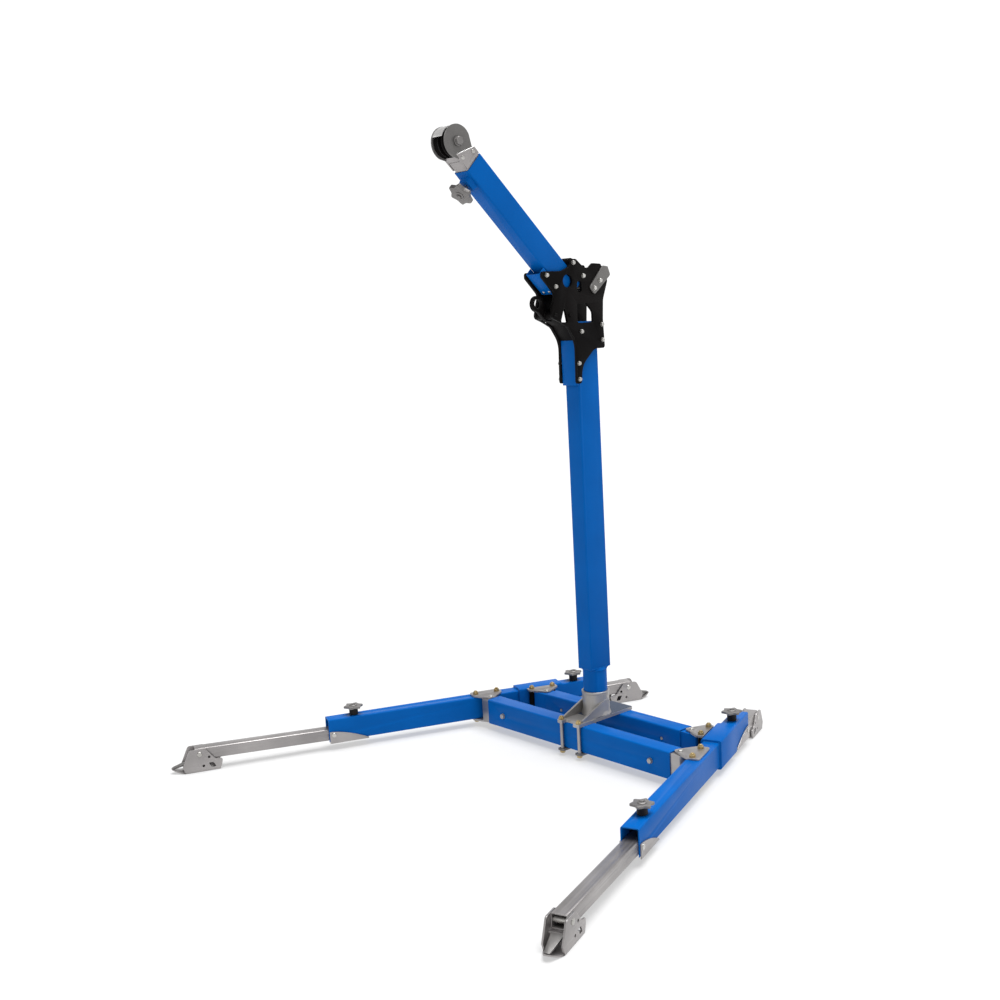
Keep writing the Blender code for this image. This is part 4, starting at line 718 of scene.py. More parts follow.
def build_beams(base):
    for label, side, length in (("front_beam", -1, FRONT_BEAM_LENGTH), ("rear_beam", 1, REAR_BEAM_LENGTH)):
        beam = tube(label, BEAM_DEPTH, BEAM_HEIGHT, BEAM_WALL, -length / 2, length / 2, "YZ",
                    (side * BEAM_Y, BEAM_MID_Z), "powder_blue", base)
        holes = bmesh.new()
        for end in SIDES:
            x = end * (length / 2 - INSERT_BOLT_INSET)
            rod(holes, (x, side * BEAM_Y - BEAM_DEPTH, BEAM_MID_Z), (x, side * BEAM_Y + BEAM_DEPTH, BEAM_MID_Z),
                INSERT_BOLT_RADIUS + HOLE_FIT)
        if side > 0:
            for end in SIDES:
                upright(holes, (end * CLAMP_BOLT_X, BEAM_Y), BEAM_BOTTOM_Z - CUT_PAST, BEAM_TOP_Z + CUT_PAST,
                        CLAMP_BOLT_RADIUS + HOLE_FIT)
        cut(beam, holes, "bolt_holes")


def build_insert(base, end, side, length, pin_x, round_end):
    """Hollow aluminium end of a beam, rounded about the hinge pin, with its cross bolt."""
    name = ("front_" if side < 0 else "rear_") + SIDES[end]
    y = side * BEAM_Y
    half = (BEAM_DEPTH - 2 * BEAM_WALL - INSERT_FIT) / 2
    low, high = RAIL_BOTTOM_Z, RAIL_TOP_Z
    swing = math.asin(half / round_end)
    steps = 24
    arc = [(end * (pin_x + round_end * math.cos(a)), y + round_end * math.sin(a))
           for a in [swing * (2 * i / steps - 1) for i in range(steps + 1)]]
    inner_x = length / 2 - INSERT_IN_BEAM
    outline = [(end * inner_x, y - half)] + arc + [(end * inner_x, y + half)]
    insert = plate(name + "_insert", outline, low, high, "XY",
                   "bare_aluminium" if side < 0 else "powder_blue", base)
    ends = sorted((end * (inner_x - CUT_PAST), end * (pin_x - INSERT_PIN_BOSS)))
    cut(insert, block(bmesh.new(), (ends[0], y - half + INSERT_WALL, low + INSERT_WALL),
                      (ends[1], y + half - INSERT_WALL, high - INSERT_WALL)), "hollow")
    cut(insert, upright(bmesh.new(), (end * pin_x, y), low - CUT_PAST, high + CUT_PAST,
                        HINGE_PIN_RADIUS + HOLE_FIT), "pin_hole")
    start = (end * (length / 2 - INSERT_BOLT_INSET), side * (BEAM_Y + BEAM_DEPTH / 2), BEAM_MID_Z)
    radius = INSERT_BOLT_RADIUS * BOLT_SHARE
    if side < 0:
        bolt = through_bolt(bmesh.new(), start, (0, 1, 0), BEAM_DEPTH, radius)
    else:
        bolt = button(bmesh.new(), start, (0, -1, 0), BEAM_DEPTH - 0.0005, radius)
    fit(insert, bolt, "bolt", "bare_aluminium")

    grip = RAIL_HEIGHT + 2 * (HINGE_PLATE_THICKNESS + GAP)
    start = (end * pin_x, y, RAIL_BOTTOM_Z - HINGE_PLATE_THICKNESS - GAP)
    add_object(name + "_fold_pin", pivot_pin(bmesh.new(), start, (0, 0, 1), grip, HINGE_PIN_RADIUS), "bright_zinc",
               base)


def build_inserts(base):
    for side, length, pin_x, round_end in ((-1, FRONT_BEAM_LENGTH, FRONT_PIN_X, FRONT_INSERT_ROUND),
                                           (1, REAR_BEAM_LENGTH, REAR_PIN_X, REAR_INSERT_ROUND)):
        for end in SIDES:
            build_insert(base, end, side, length, pin_x, round_end)


def build_socket(base):
    front_bolt_y = -BEAM_Y - BEAM_DEPTH / 2 - CLAMP_BOLT_OFF
    back_bolt_y = -BEAM_Y + BEAM_DEPTH / 2 + CLAMP_BOLT_OFF
    front_y = front_bolt_y - CLAMP_FLANGE
    rear_y = BEAM_Y + BEAM_DEPTH / 2 + SOCKET_PLATE_BEYOND
    half = SOCKET_PLATE_HALF_WIDTH
    outline = rectangle(2 * half, rear_y - front_y, 0.006, (0, (front_y + rear_y) / 2))
    holes = [circle((end * CLAMP_BOLT_X, front_bolt_y), CLAMP_BOLT_RADIUS + HOLE_FIT) for end in SIDES]
    socket = plate("mast_socket", outline, SOCKET_PLATE_Z, SOCKET_FLOOR_Z, "XY", "cast_aluminium", base, holes)
    bore = SPIGOT_RADIUS + RUNNING_FIT
    skin = bore + SOCKET_WALL
    floor, top = SOCKET_FLOOR_Z, SOCKET_TOP_Z
    profile = [(bore, floor - 0.004), (skin + 0.005, floor - 0.004), (skin + 0.005, floor + 0.002),
               (skin + 0.0035, floor + 0.005), (skin + 0.0012, floor + 0.014), (skin, floor + 0.028),
               (skin, top - 0.009), (skin + 0.0014, top - 0.0075), (skin + 0.0014, top - 0.001),
               (skin + 0.0004, top), (bore, top)]
    fuse(socket, turned(profile, SOCKET_SIDES), "sleeve")
    for end in SIDES:
        x_low = end * SOCKET_GUSSET_X - SOCKET_GUSSET / 2
        top_y, low_y = 0.014, front_bolt_y + 0.0135
        outline = rounded([(top_y, floor - 0.002, 0), (top_y, top - 0.026, 0.004), (-0.002, top - 0.026, 0.01),
                           (low_y, floor + 0.006, 0.003), (low_y, floor - 0.002, 0)], 2)
        fuse(socket, slab(bmesh.new(), outline, x_low, x_low + SOCKET_GUSSET, "YZ"), "gusset_" + SIDES[end])
    bore_tool = upright(bmesh.new(), (0, 0), SOCKET_FLOOR_Z, SOCKET_TOP_Z + CUT_PAST, bore, SOCKET_SIDES)
    for end in SIDES:
        upright(bore_tool, (end * CLAMP_BOLT_X, back_bolt_y), SOCKET_PLATE_Z - CUT_PAST, SOCKET_FLOOR_Z - 0.002,
                CLAMP_BOLT_RADIUS + HOLE_FIT)
    notch_y = -BEAM_Y - BEAM_DEPTH / 2 + 0.004
    notch = rounded([(-SOCKET_NOTCH, front_y - CUT_PAST, 0), (SOCKET_NOTCH, front_y - CUT_PAST, 0),
                     (SOCKET_NOTCH, notch_y, 0.006), (-SOCKET_NOTCH, notch_y, 0.006)])
    slab(bore_tool, notch, SOCKET_PLATE_Z - CUT_PAST, SOCKET_FLOOR_Z + 0.001)
    cut(socket, bore_tool, "bore")
    # Thin dark sheet over the plate's top round the sleeve: painted shade, standing in for the shadow and reflection
    # that darken the top
    shade_pad = rectangle(2 * half - 0.003, rear_y + 0.046, 0.005, (0, (rear_y - 0.0015 - 0.0475) / 2))
    fit(socket, slab(bmesh.new(), shade_pad, SOCKET_FLOOR_Z - 0.0002, SOCKET_FLOOR_Z + 0.0004,
                     holes=[circle((0, 0), skin + 0.003, SOCKET_SIDES)]), "painted_top", "slate")

    for end in SIDES:
        start = (end * CLAMP_BOLT_X, BEAM_Y, SOCKET_FLOOR_Z)
        fit(socket, through_bolt(bmesh.new(), start, (0, 0, -1), SOCKET_FLOOR_Z - BEAM_BOTTOM_Z,
                                 CLAMP_BOLT_RADIUS, head=False), "rear_screw_" + SIDES[end], "bright_zinc")

    strap_top = BEAM_BOTTOM_Z - GAP
    strap_low = strap_top - CLAMP_STRAP_THICKNESS
    for end in SIDES:
        build_clamp(base, end, front_bolt_y, back_bolt_y, strap_low, strap_top)


def build_clamp(base, end, front_bolt_y, back_bolt_y, strap_low, strap_top):
    """Strap under the front beam with its two bolts, which pull the socket down on the beam."""
    x = end * CLAMP_BOLT_X
    half = CLAMP_STRAP_WIDTH / 2
    ends = (front_bolt_y - half * 0.8, back_bolt_y + half * 0.8)
    outline = rectangle(2 * half, ends[1] - ends[0], 0.006, (x, sum(ends) / 2))
    strap = plate("clamp_strap_" + SIDES[end], outline, strap_low, strap_top, "XY", "dark_grey", base)
    fit(strap, through_bolt(bmesh.new(), (x, front_bolt_y, strap_low), (0, 0, 1), SOCKET_FLOOR_Z - strap_low,
                            CLAMP_BOLT_RADIUS), "front_bolt")
    fit(strap, upright(bmesh.new(), (x, front_bolt_y), strap_top + GAP, SOCKET_PLATE_Z - GAP,
                       CLAMP_BOLT_RADIUS + 0.0006), "front_bolt_shank", "bare_aluminium")
    radius = CLAMP_BOLT_RADIUS
    stud_top = SOCKET_FLOOR_Z - 0.002 - 2 * GAP
    across = radius * 1.9
    sections = [(-radius * 1.4, across * 0.82), (-radius * 1.2, across, "hex"), (0, across, "hex"), (0, radius),
                (stud_top - strap_low, radius)]
    fit(strap, fastener(bmesh.new(), (x, back_bolt_y, strap_low), (0, 0, 1), sections), "back_bolt")


# Legs. A leg's frame stands on its hinge pin: X along the leg, Z up from the floor

# Hinge pin out from the middle, rail out from the pin, seam back from the pin, rail length, hinge
# bolts out from the pin, open end of the extension and foot pin from the mouth pin
LEG_SIZES = {
    "front": (FRONT_PIN_X, FRONT_PIN_TO_RAIL, FRONT_SEAM_BACK, FRONT_RAIL_LENGTH, FRONT_HINGE_BOLT_OUT,
              EXTENSION_REACH, FRONT_SHOE_PIN_X),
    "rear": (REAR_PIN_X, REAR_PIN_TO_RAIL, REAR_SEAM_BACK, REAR_RAIL_LENGTH, REAR_HINGE_BOLT_OUT,
             REAR_EXTENSION_REACH, REAR_SHOE_PIN_X),
}


class Leg:
    """Where one of the four legs stands, and which way its outer side is."""

    def __init__(self, end, side):
        self.front = end == "front"
        self.name = end + "_" + side
        across = 1 if side == "right" else -1
        ahead = 1 if self.front else -1
        pin_x, rail_out, seam_back, rail_length, bolt_out, self.reach, self.shoe_pin = LEG_SIZES[end]
        self.pin = Vector((pin_x * across, -BEAM_Y * ahead, 0))
        self.turn = math.atan2(-math.cos(SPLAY) * ahead, math.sin(SPLAY) * across * ahead)
        self.out = across * ahead
        self.line = self.out * rail_out
        self.bolt_out = self.out * bolt_out
        self.seam = -seam_back
        self.mouth = self.seam + rail_length
        self.mouth_pin = self.mouth - MOUTH_PIN_INSET
        self.jack = self.mouth_pin - JACK_LEVER


def build_rail(leg, frame):
    centre = (leg.line, BEAM_MID_Z)
    rail = tube(leg.name + "_rail", RAIL_WIDTH, RAIL_HEIGHT, RAIL_WALL, leg.seam, leg.mouth, "YZ", centre,
                "powder_blue", frame)
    if not leg.front:
        outer = rectangle(RAIL_WIDTH + 2 * SLEEVE_WALL, RAIL_HEIGHT + 2 * SLEEVE_WALL, SLEEVE_CORNER, centre)
        weld = [rectangle(RAIL_WIDTH - RAIL_WALL, RAIL_HEIGHT - RAIL_WALL, TUBE_CORNER, centre)]
        sleeve_end = leg.seam + SLEEVE_LENGTH
        fuse(rail, slab(bmesh.new(), outer, leg.seam + SLEEVE_SETBACK, sleeve_end, "YZ", weld), "sleeve")
        run = rectangle(RAIL_WIDTH, RAIL_HEIGHT, TUBE_CORNER, centre, 3)
        bead(rail, [(sleeve_end, u, v) for u, v in run], 0.0024, "sleeve_weld")
    tools = bmesh.new()
    low, high = RAIL_BOTTOM_Z - CUT_PAST, RAIL_TOP_Z + CUT_PAST
    if leg.front:
        for along in (-HINGE_BOLT_SPREAD, HINGE_BOLT_SPREAD):
            upright(tools, (along, leg.bolt_out), low, high, HINGE_PIN_RADIUS + HOLE_FIT)
    upright(tools, (leg.jack, leg.line), BEAM_MID_Z, high, JACK_SCREW_RADIUS + HOLE_FIT)
    rod(tools, (leg.mouth_pin, leg.line - RAIL_WIDTH, MOUTH_PIN_Z),
        (leg.mouth_pin, leg.line + RAIL_WIDTH, MOUTH_PIN_Z), MOUTH_PIN_RADIUS + HOLE_FIT)
    half = EXTENSION_WIDTH / 2 + RUNNING_FIT
    block(tools, (leg.mouth - MOUTH_NOTCH, leg.line - half, low),
          (leg.mouth + CUT_PAST, leg.line + half, RAIL_BOTTOM_Z + RAIL_WALL + 0.001))
    cut(rail, tools, "holes")


def hinge_outline(leg):
    """Three-cornered plate from the pin to the two bolts at the rail."""
    far = HINGE_BOLT_SPREAD + HINGE_BOLT_BOSS
    near = abs(leg.bolt_out) - HINGE_BOLT_BOSS * 0.8
    if leg.front:
        edge, corner = abs(leg.line) + RAIL_WIDTH / 2 - 0.008, 0.01
    else:
        edge, corner = abs(leg.line) - RAIL_WIDTH / 2 - SLEEVE_WALL - GAP, 0.003
    pin_end = [(-HINGE_PIN_BOSS * math.cos(a), -HINGE_PIN_BOSS * math.sin(a))
               for a in [math.radians(20 + 140 * i / 18) for i in range(19)]]
    rest = rounded([(*pin_end[0], 0), (-far, near, 0.01), (-far, edge, corner), (far, edge, corner),
                    (far, near, 0.01), (*pin_end[-1], 0)])
    return [(u, v * leg.out) for u, v in rest[1:-1] + pin_end[::-1]]


def build_hinge(leg, frame):
    """Two plates of a corner hinge. The lower one carries the two bolts, and spacers at the rear."""
    outline = hinge_outline(leg)
    spots = [(0.0, 0.0), (-HINGE_BOLT_SPREAD, leg.bolt_out), (HINGE_BOLT_SPREAD, leg.bolt_out)]
    holes = [circle(spot, HINGE_PIN_RADIUS + HOLE_FIT) for spot in spots]
    top = RAIL_TOP_Z + GAP
    low = RAIL_BOTTOM_Z - GAP - HINGE_PLATE_THICKNESS
    plate(leg.name + "_upper_hinge_plate", outline, top, top + HINGE_PLATE_THICKNESS, "XY", "bare_aluminium",
          frame, holes)
    lower = plate(leg.name + "_lower_hinge_plate", outline, low, low + HINGE_PLATE_THICKNESS, "XY",
                  "bare_aluminium", frame, holes[:1])
    grip = RAIL_HEIGHT + 2 * (HINGE_PLATE_THICKNESS + GAP)
    bolts = bmesh.new()
    for spot in spots[1:]:
        through_bolt(bolts, (*spot, low), (0, 0, 1), grip, HINGE_PIN_RADIUS * BOLT_SHARE)
    fit(lower, bolts, "bolts")
    if not leg.front:
        spacers = bmesh.new()
        for spot in spots[1:]:
            upright(spacers, spot, low + HINGE_PLATE_THICKNESS - WELD, low + grip - HINGE_PLATE_THICKNESS - GAP,
                    REAR_HINGE_SPACER_RADIUS)
        fit(lower, spacers, "spacers", "black_plate")


def build_mouth_pin(leg, frame):
    grip = RAIL_WIDTH + 2 * (SADDLE_THICKNESS + GAP)
    start = (leg.mouth_pin, leg.line - leg.out * grip / 2, MOUTH_PIN_Z)
    add_object(leg.name + "_mouth_pin", pivot_pin(bmesh.new(), start, (0, leg.out, 0), grip, MOUTH_PIN_RADIUS),
               "bright_zinc", frame)


def build_saddle(leg, frame):
    """Bent saddle round the underside of the leg's mouth, with a curved ear on each side."""
    low = RAIL_BOTTOM_Z - GAP - SADDLE_THICKNESS
    front = leg.mouth - 0.002
    steps = 24
    curve = [(front - SADDLE_LENGTH * i / steps,
              low + SADDLE_THICKNESS + SADDLE_HEIGHT * (1 - (i / steps) ** 1.7)) for i in range(steps + 1)]
    outline = [(front - SADDLE_LENGTH, low), (front, low)] + curve
    inner = RAIL_WIDTH / 2 + GAP
    hole = [circle((leg.mouth_pin, MOUTH_PIN_Z), MOUTH_PIN_RADIUS + HOLE_FIT)]
    saddle = plate(leg.name + "_mouth_saddle", outline, leg.line + inner, leg.line + inner + SADDLE_THICKNESS,
                   "XZ", "bare_aluminium", frame, hole)
    ear = slab(bmesh.new(), outline, leg.line - inner - SADDLE_THICKNESS, leg.line - inner, "XZ", hole)
    fuse(saddle, ear, "inner_ear")
    web = block(bmesh.new(), (front - SADDLE_LENGTH, leg.line - inner - SADDLE_THICKNESS / 2, low),
                (leg.mouth - MOUTH_NOTCH, leg.line + inner + SADDLE_THICKNESS / 2, low + SADDLE_THICKNESS))
    fuse(saddle, web, "web")


def build_jack_knob(name, parent, spot, direction, stand_off, screw_length, screw_radius, hub_radius, star_rise,
                    size=1.0):
    """Lobed cast knob over its hub, with its screw. star_rise is the star's underside above the CAD one."""
    turn = Vector(direction).to_track_quat("Z", "Y").to_matrix().to_4x4()
    place = parent @ Matrix.Translation(spot) @ turn
    low = stand_off + JACK_HUB_HEIGHT
    top = low + KNOB_THICKNESS * size ** 2
    knob = add_object(name, slab(bmesh.new(), star(KNOB_RADIUS * size), low + star_rise, top), "cast_grey", place,
                      bevel=0.0018)
    crown = [(low + star_rise + 0.001, KNOB_RADIUS * 0.42), (top + 0.0015, KNOB_RADIUS * 0.4),
             (top + 0.003, KNOB_RADIUS * 0.34), (top + 0.0034, KNOB_RADIUS * 0.28),
             (top + 0.001, KNOB_RADIUS * 0.22), (top + 0.0012, KNOB_RADIUS * 0.16),
             (top + 0.005, KNOB_RADIUS * 0.15), (top + 0.0056, KNOB_RADIUS * 0.11)]
    hub_finish = "black_rubber" if hub_radius > screw_radius * 1.5 else "bright_zinc"
    hub = [(stand_off, hub_radius * 0.94), (stand_off + 0.0012, hub_radius),
           (stand_off + JACK_HUB_HEIGHT * 0.8, hub_radius), (low + star_rise + 0.0005, hub_radius * 1.2)]
    screw = [(-screw_length, screw_radius), (stand_off + 0.001, screw_radius)]
    for label, sections, look in (("crown", crown, "cast_grey"), ("hub", hub, hub_finish),
                                  ("screw", screw, "bright_zinc")):
        fit(knob, fastener(bmesh.new(), (0, 0, 0), (0, 0, 1), sections), label, look)


def build_extension(leg, frame):
    """Levelling leg on the mouth pin. Its frame tilts with it."""
    pivot = placed((leg.mouth_pin, leg.line, MOUTH_PIN_Z), (0, -math.radians(REST_TILT_DEG), 0), frame)
    extension = tube(leg.name + "_extension", EXTENSION_WIDTH, EXTENSION_HEIGHT, EXTENSION_WALL,
                     -EXTENSION_TAIL, leg.reach, "YZ", (0, 0), "bare_aluminium", pivot)
    half = EXTENSION_WIDTH / 2 - EXTENSION_WALL / 2
    nut = block(bmesh.new(), (-JACK_LEVER - NUT_BLOCK_LENGTH / 2, -half, -NUT_BLOCK_HEIGHT / 2),
                (-JACK_LEVER + NUT_BLOCK_LENGTH / 2, half, NUT_BLOCK_HEIGHT / 2))
    fuse(extension, nut, "nut_block")
    slot = rectangle(2 * (JACK_SCREW_RADIUS + JACK_SLOT_ROOM), 2 * (JACK_SCREW_RADIUS + RUNNING_FIT),
                     JACK_SCREW_RADIUS * 0.9, (-JACK_LEVER, 0))
    tools = slab(bmesh.new(), slot, -EXTENSION_HEIGHT, EXTENSION_HEIGHT)
    for x, z, radius in ((0, 0, MOUTH_PIN_RADIUS + RUNNING_FIT), (leg.shoe_pin, 0, SHOE_PIN_RADIUS + RUNNING_FIT),
                         (leg.shoe_pin + SHOE_HOLE[0], *SHOE_HOLE[1:])):
        rod(tools, (x, -EXTENSION_WIDTH, z), (x, EXTENSION_WIDTH, z), radius)
    cut(extension, tools, "holes")
    return pivot


def build_shoe(leg, pivot):
    """Foot shoe: two windowed sides over a sole that turns up at the toe."""
    tilt = math.radians(REST_TILT_DEG)
    floor = -(MOUTH_PIN_Z + leg.shoe_pin * math.sin(tilt))
    frame = placed((leg.shoe_pin, 0, 0), (0, tilt, 0), pivot)
    inner = EXTENSION_WIDTH / 2 + RUNNING_FIT
    outer = inner + SHOE_SIDE
    top = SHOE_TOP
    side = rounded([(-SHOE_HEEL, floor + 0.001, 0.003), (0.047, floor + 0.001, 0.001),
                    (0.055, floor + 0.021, 0.004), (0.031, top, 0.01), (-0.018, top, 0.01),
                    (-0.047, -0.019, 0.012), (-SHOE_HEEL - 0.01, -0.023, 0.005),
                    (-SHOE_HEEL - 0.006, floor + 0.014, 0.005)])
    slot = rounded([(-0.05, floor + 0.01, 0.002), (-0.034, floor + 0.01, 0.002),
                    (-0.026, floor + 0.026, 0.002), (-0.042, floor + 0.026, 0.002)])
    holes = [circle(SHOE_HOLE[:2], SHOE_HOLE[2]), slot, circle((-0.01, floor + 0.018), 0.0042)]
    shoe = plate(leg.name + "_shoe", side, inner, outer, "XZ", "bare_aluminium", frame, holes)
    fuse(shoe, slab(bmesh.new(), side, -outer, -inner, "XZ", holes), "other_side")
    heel, ball, toe = -SHOE_HEEL, SHOE_BALL - 0.01, SHOE_TOE
    steps = 8
    curl = [(ball + (toe - ball) * i / steps, floor + SHOE_TOE_LIFT * (i / steps) ** 1.8)
            for i in range(steps + 1)]
    run = [(heel, floor)] + curl + [(x, z + SHOE_SOLE - 0.0012) for x, z in reversed(curl)] + [
        (heel, floor + SHOE_SOLE)]
    sole = slab(bmesh.new(), run, -outer + 0.0002, outer - 0.0002, "XZ")
    for vert in sole.verts:
        if vert.co.x > ball:
            vert.co.y *= 1 - 0.74 * ((vert.co.x - ball) / (toe - ball)) ** 1.3
    fuse(shoe, sole, "sole")
    # The toe web takes dark_grey, not the shoe's bare aluminium: painted shade that darkens its upturned face as if
    # it lay in shadow
    web = slab(bmesh.new(), [(0.019, -0.026), (0.024, -0.0205), (toe - 0.0025, floor + SHOE_TOE_LIFT + 0.005),
                             (toe - 0.0075, floor + SHOE_TOE_LIFT + 0.0005)], -0.0165, 0.0165, "XZ")
    for vert in web.verts:
        if vert.co.x > ball:
            vert.co.y *= 0.42
    fit(shoe, web, "toe_web", "dark_grey", 0.0006)
    brace = slab(bmesh.new(), [(0.017, -0.024), (0.024, -0.024), (0.024, -0.0205), (0.017, -0.0205)],
                 -inner - 0.001, inner + 0.001, "XZ")
    fuse(shoe, brace, "toe_brace")
    pin = pivot_pin(bmesh.new(), (0, -leg.out * outer, 0), (0, leg.out, 0), 2 * outer, SHOE_PIN_RADIUS)
    fit(shoe, pin, "pin", "bright_zinc")
    sleeve = EXTENSION_WIDTH / 2 - EXTENSION_WALL - RUNNING_FIT
    fit(shoe, rod(bmesh.new(), (0, -sleeve, 0), (0, sleeve, 0), 0.0082), "pin_sleeve", "bright_zinc")


def build_legs(base):
    for end in LEG_SIZES:
        for side in SIDES.values():
            leg = Leg(end, side)
            frame = placed(leg.pin, (0, 0, leg.turn), base)
            build_rail(leg, frame)
            build_hinge(leg, frame)
            build_saddle(leg, frame)
            build_mouth_pin(leg, frame)
            screw_foot = MOUTH_PIN_Z - EXTENSION_HEIGHT / 2 + EXTENSION_WALL + 0.001
            build_jack_knob(leg.name + "_jack_knob", frame, (leg.jack, leg.line, RAIL_TOP_Z), (0, 0, 1),
                            GAP, RAIL_TOP_Z - screw_foot, JACK_SCREW_RADIUS, JACK_HUB_RADIUS, 0.0045)
            pivot = build_extension(leg, frame)
            build_shoe(leg, pivot)


# Mast

def mast_section(bm, height, inset, sides):
    """Ring of points on the mast's box outline, set in by a little, at even angles."""
    points = []
    corner = math.hypot(MAST_WIDTH, MAST_DEPTH) / 2 - 0.0021
    for i in range(sides):
        angle = 2 * math.pi * i / sides
        reach = min(MAST_WIDTH / 2 / max(abs(math.cos(angle)), 1e-6),
                    MAST_DEPTH / 2 / max(abs(math.sin(angle)), 1e-6), corner) - inset
        points.append(bm.verts.new((reach * math.cos(angle), reach * math.sin(angle), height)))
    return points


def build_mast(mast):
    """Box tube with a round spigot welded in its foot."""
    mast_tube = tube("mast_tube", MAST_WIDTH, MAST_DEPTH, MAST_WALL, MAST_BOTTOM_Z, MAST_TOP_Z, "XY", (0, 0),
                     "powder_blue", mast)
    sides = SOCKET_SIDES
    bm = bmesh.new()
    inner = SPIGOT_RADIUS - SPIGOT_WALL
    foot = SOCKET_FLOOR_Z + GAP
    under = MAST_BOTTOM_Z - COLLAR_HEIGHT
    round_rings = [(inner, under - 0.01), (inner, foot), (SPIGOT_RADIUS - 0.0015, foot),
                   (SPIGOT_RADIUS, foot + 0.0015), (SPIGOT_RADIUS, under)]
    loops = [ring(bm, radius, height, Matrix.Identity(4), sides) for radius, height in round_rings]
    loops += [mast_section(bm, MAST_BOTTOM_Z, GAP, sides),
              mast_section(bm, MAST_BOTTOM_Z + COLLAR_HEIGHT, MAST_WALL / 2, sides)]
    join_loops(bm, loops)
    bm.faces.new(loops[0])
    bm.faces.new(loops[-1])
    fuse(mast_tube, bm, "spigot")
    run = rectangle(MAST_WIDTH - 0.002, MAST_DEPTH - 0.002, TUBE_CORNER, steps=3)
    bead(mast_tube, [(u, v, MAST_BOTTOM_Z - 0.0004) for u, v in run], 0.0022, "foot_weld")
    bead(mast_tube, [(u, v, under + 0.001) for u, v in circle((0, 0), SPIGOT_RADIUS, 32)], 0.002, "spigot_weld")
    cut(mast_tube, cross_rods([HEAD_BOLTS["mast_cross"]], MAST_WIDTH, HEAD_BOLT_RADIUS + HOLE_FIT), "cross_hole")


# Head

ARM_STOP_RISE = ARM_HEIGHT / 2 + ARM_STOP_RADIUS + 2 * GAP
MAST_STOP_Y = MAST_DEPTH / 2 + MAST_STOP_RADIUS + 2 * GAP
HEAD_BOLTS = {
    "arm_front_1": arm_point(ARM_BOLTS[0], -ARM_BOLT_DROP),
    "arm_front_2": arm_point(ARM_BOLTS[1], -ARM_BOLT_DROP),
    "arm_back_1": arm_point(ARM_STOPS[0], ARM_STOP_RISE),
    "arm_back_2": arm_point(ARM_STOPS[1], ARM_STOP_RISE),
    "mast_front_1": (-MAST_DEPTH / 2 - MAST_BOLT_OFF, MAST_TOP_Z - MAST_BOLTS_DOWN[0]),
    "mast_front_2": (-MAST_DEPTH / 2 - MAST_BOLT_OFF, MAST_TOP_Z - MAST_BOLTS_DOWN[1]),
    "mast_back_1": (MAST_STOP_Y, MAST_TOP_Z - MAST_STOPS_DOWN[0]),
    "mast_back_2": (MAST_STOP_Y, MAST_TOP_Z - MAST_STOPS_DOWN[1]),
    "mast_cross": (-0.034, MAST_TOP_Z - 0.03),
    "eye_1": (-0.14, MAST_TOP_Z + 0.022),
    "eye_2": (-0.08, MAST_TOP_Z + 0.02),
}
SPACERS = {"arm_back_1": ARM_STOP_RADIUS, "arm_back_2": ARM_STOP_RADIUS,
           "mast_back_1": MAST_STOP_RADIUS, "mast_back_2": MAST_STOP_RADIUS}
HEAD_BOLT_SHOWN = 0.0037    # their radius as it looks in the photo
EYE_CENTRE = (-0.176, MAST_TOP_Z + 0.058)
EYE_RADIUS = 0.024
EYE_HOLE = 0.015
EYE_THICKNESS = 0.012
EYE_TAIL_SHORT = 0.014      # of its second bolt


def head_outline():
    """Side view (y, z) of a head plate, from the tip under the arm round to the mast."""
    front = -MAST_DEPTH / 2 - MAST_SADDLE_DEPTH - 0.004
    back = MAST_STOP_Y + MAST_STOP_RADIUS
    b1, b2 = HEAD_BOLTS["arm_front_1"], HEAD_BOLTS["arm_front_2"]
    top, arm = MAST_TOP_Z, ARM_REF_Z
    return rounded([
        (b1[0] - 0.017, b1[1] + 0.011, 0.008), (-0.105, arm - 0.0133, 0.03), (-0.07, arm - 0.0003, 0.018),
        (-0.069, arm + 0.022, 0.009), (-0.045, arm + 0.022, 0.01), (-0.012, arm - 0.0043, 0.012),
        (0.011, arm - 0.0043, 0.01), (0.028, arm + 0.0087, 0.004), (0.06, arm + 0.0067, 0.006),
        (0.088, arm - 0.0433, 0.012), (back, top + 0.064, 0.05), (back - 0.004, top + 0.004, 0.05),
        (back, top - 0.084, 0.008), (0.02, top - 0.084, 0.03), (-0.034, top - 0.131, 0.06),
        (-0.042, top - 0.186, 0.007), (front, top - 0.186, 0.007), (front + 0.003, top - 0.061, 0.08),
        (-0.09, top - 0.014, 0.03), (-0.126, top + 0.004, 0.02), (-0.156, top + 0.016, 0.012),
        (-0.148, top + 0.049, 0.02), (b2[0] - 0.002, b2[1] - 0.023, 0.02),
        (b1[0] - 0.017, b1[1] - 0.006, 0.01)], 8)


def head_cutouts():
    top, arm = MAST_TOP_Z, ARM_REF_Z
    big = rounded([(-0.048, top - 0.004, 0.006), (0.02, top - 0.004, 0.006), (0.02, top + 0.028, 0.02),
                   (-0.006, top + 0.054, 0.008), (-0.048, top + 0.054, 0.006)])
    wedge = rounded([(-0.118, top + 0.001, 0.003), (-0.0885, top - 0.001, 0.003), (-0.1, top + 0.05, 0.004)])
    small = rectangle(0.02, 0.034, 0.0095, (-0.034, arm - 0.0603), 8)
    return [circle((-0.083, arm - 0.0428), 0.0195, 40), small, big, wedge]


# Rear lug, folded round the back of the head on two pins

LUG_START = (0.02, ARM_REF_Z - 0.0703)
LUG_LEAN = math.radians(42)
LUG_WALL = 0.004
LUG_PIN_RADIUS = 0.004
LUG_PINS = (0.006, 0.04)    # along the lug


def lug_spot(along, across):
    """Point (y, z) along the lug from its start, and above its centre line."""
    return (LUG_START[0] + along * math.cos(LUG_LEAN) - across * math.sin(LUG_LEAN),
            LUG_START[1] + along * math.sin(LUG_LEAN) + across * math.cos(LUG_LEAN))


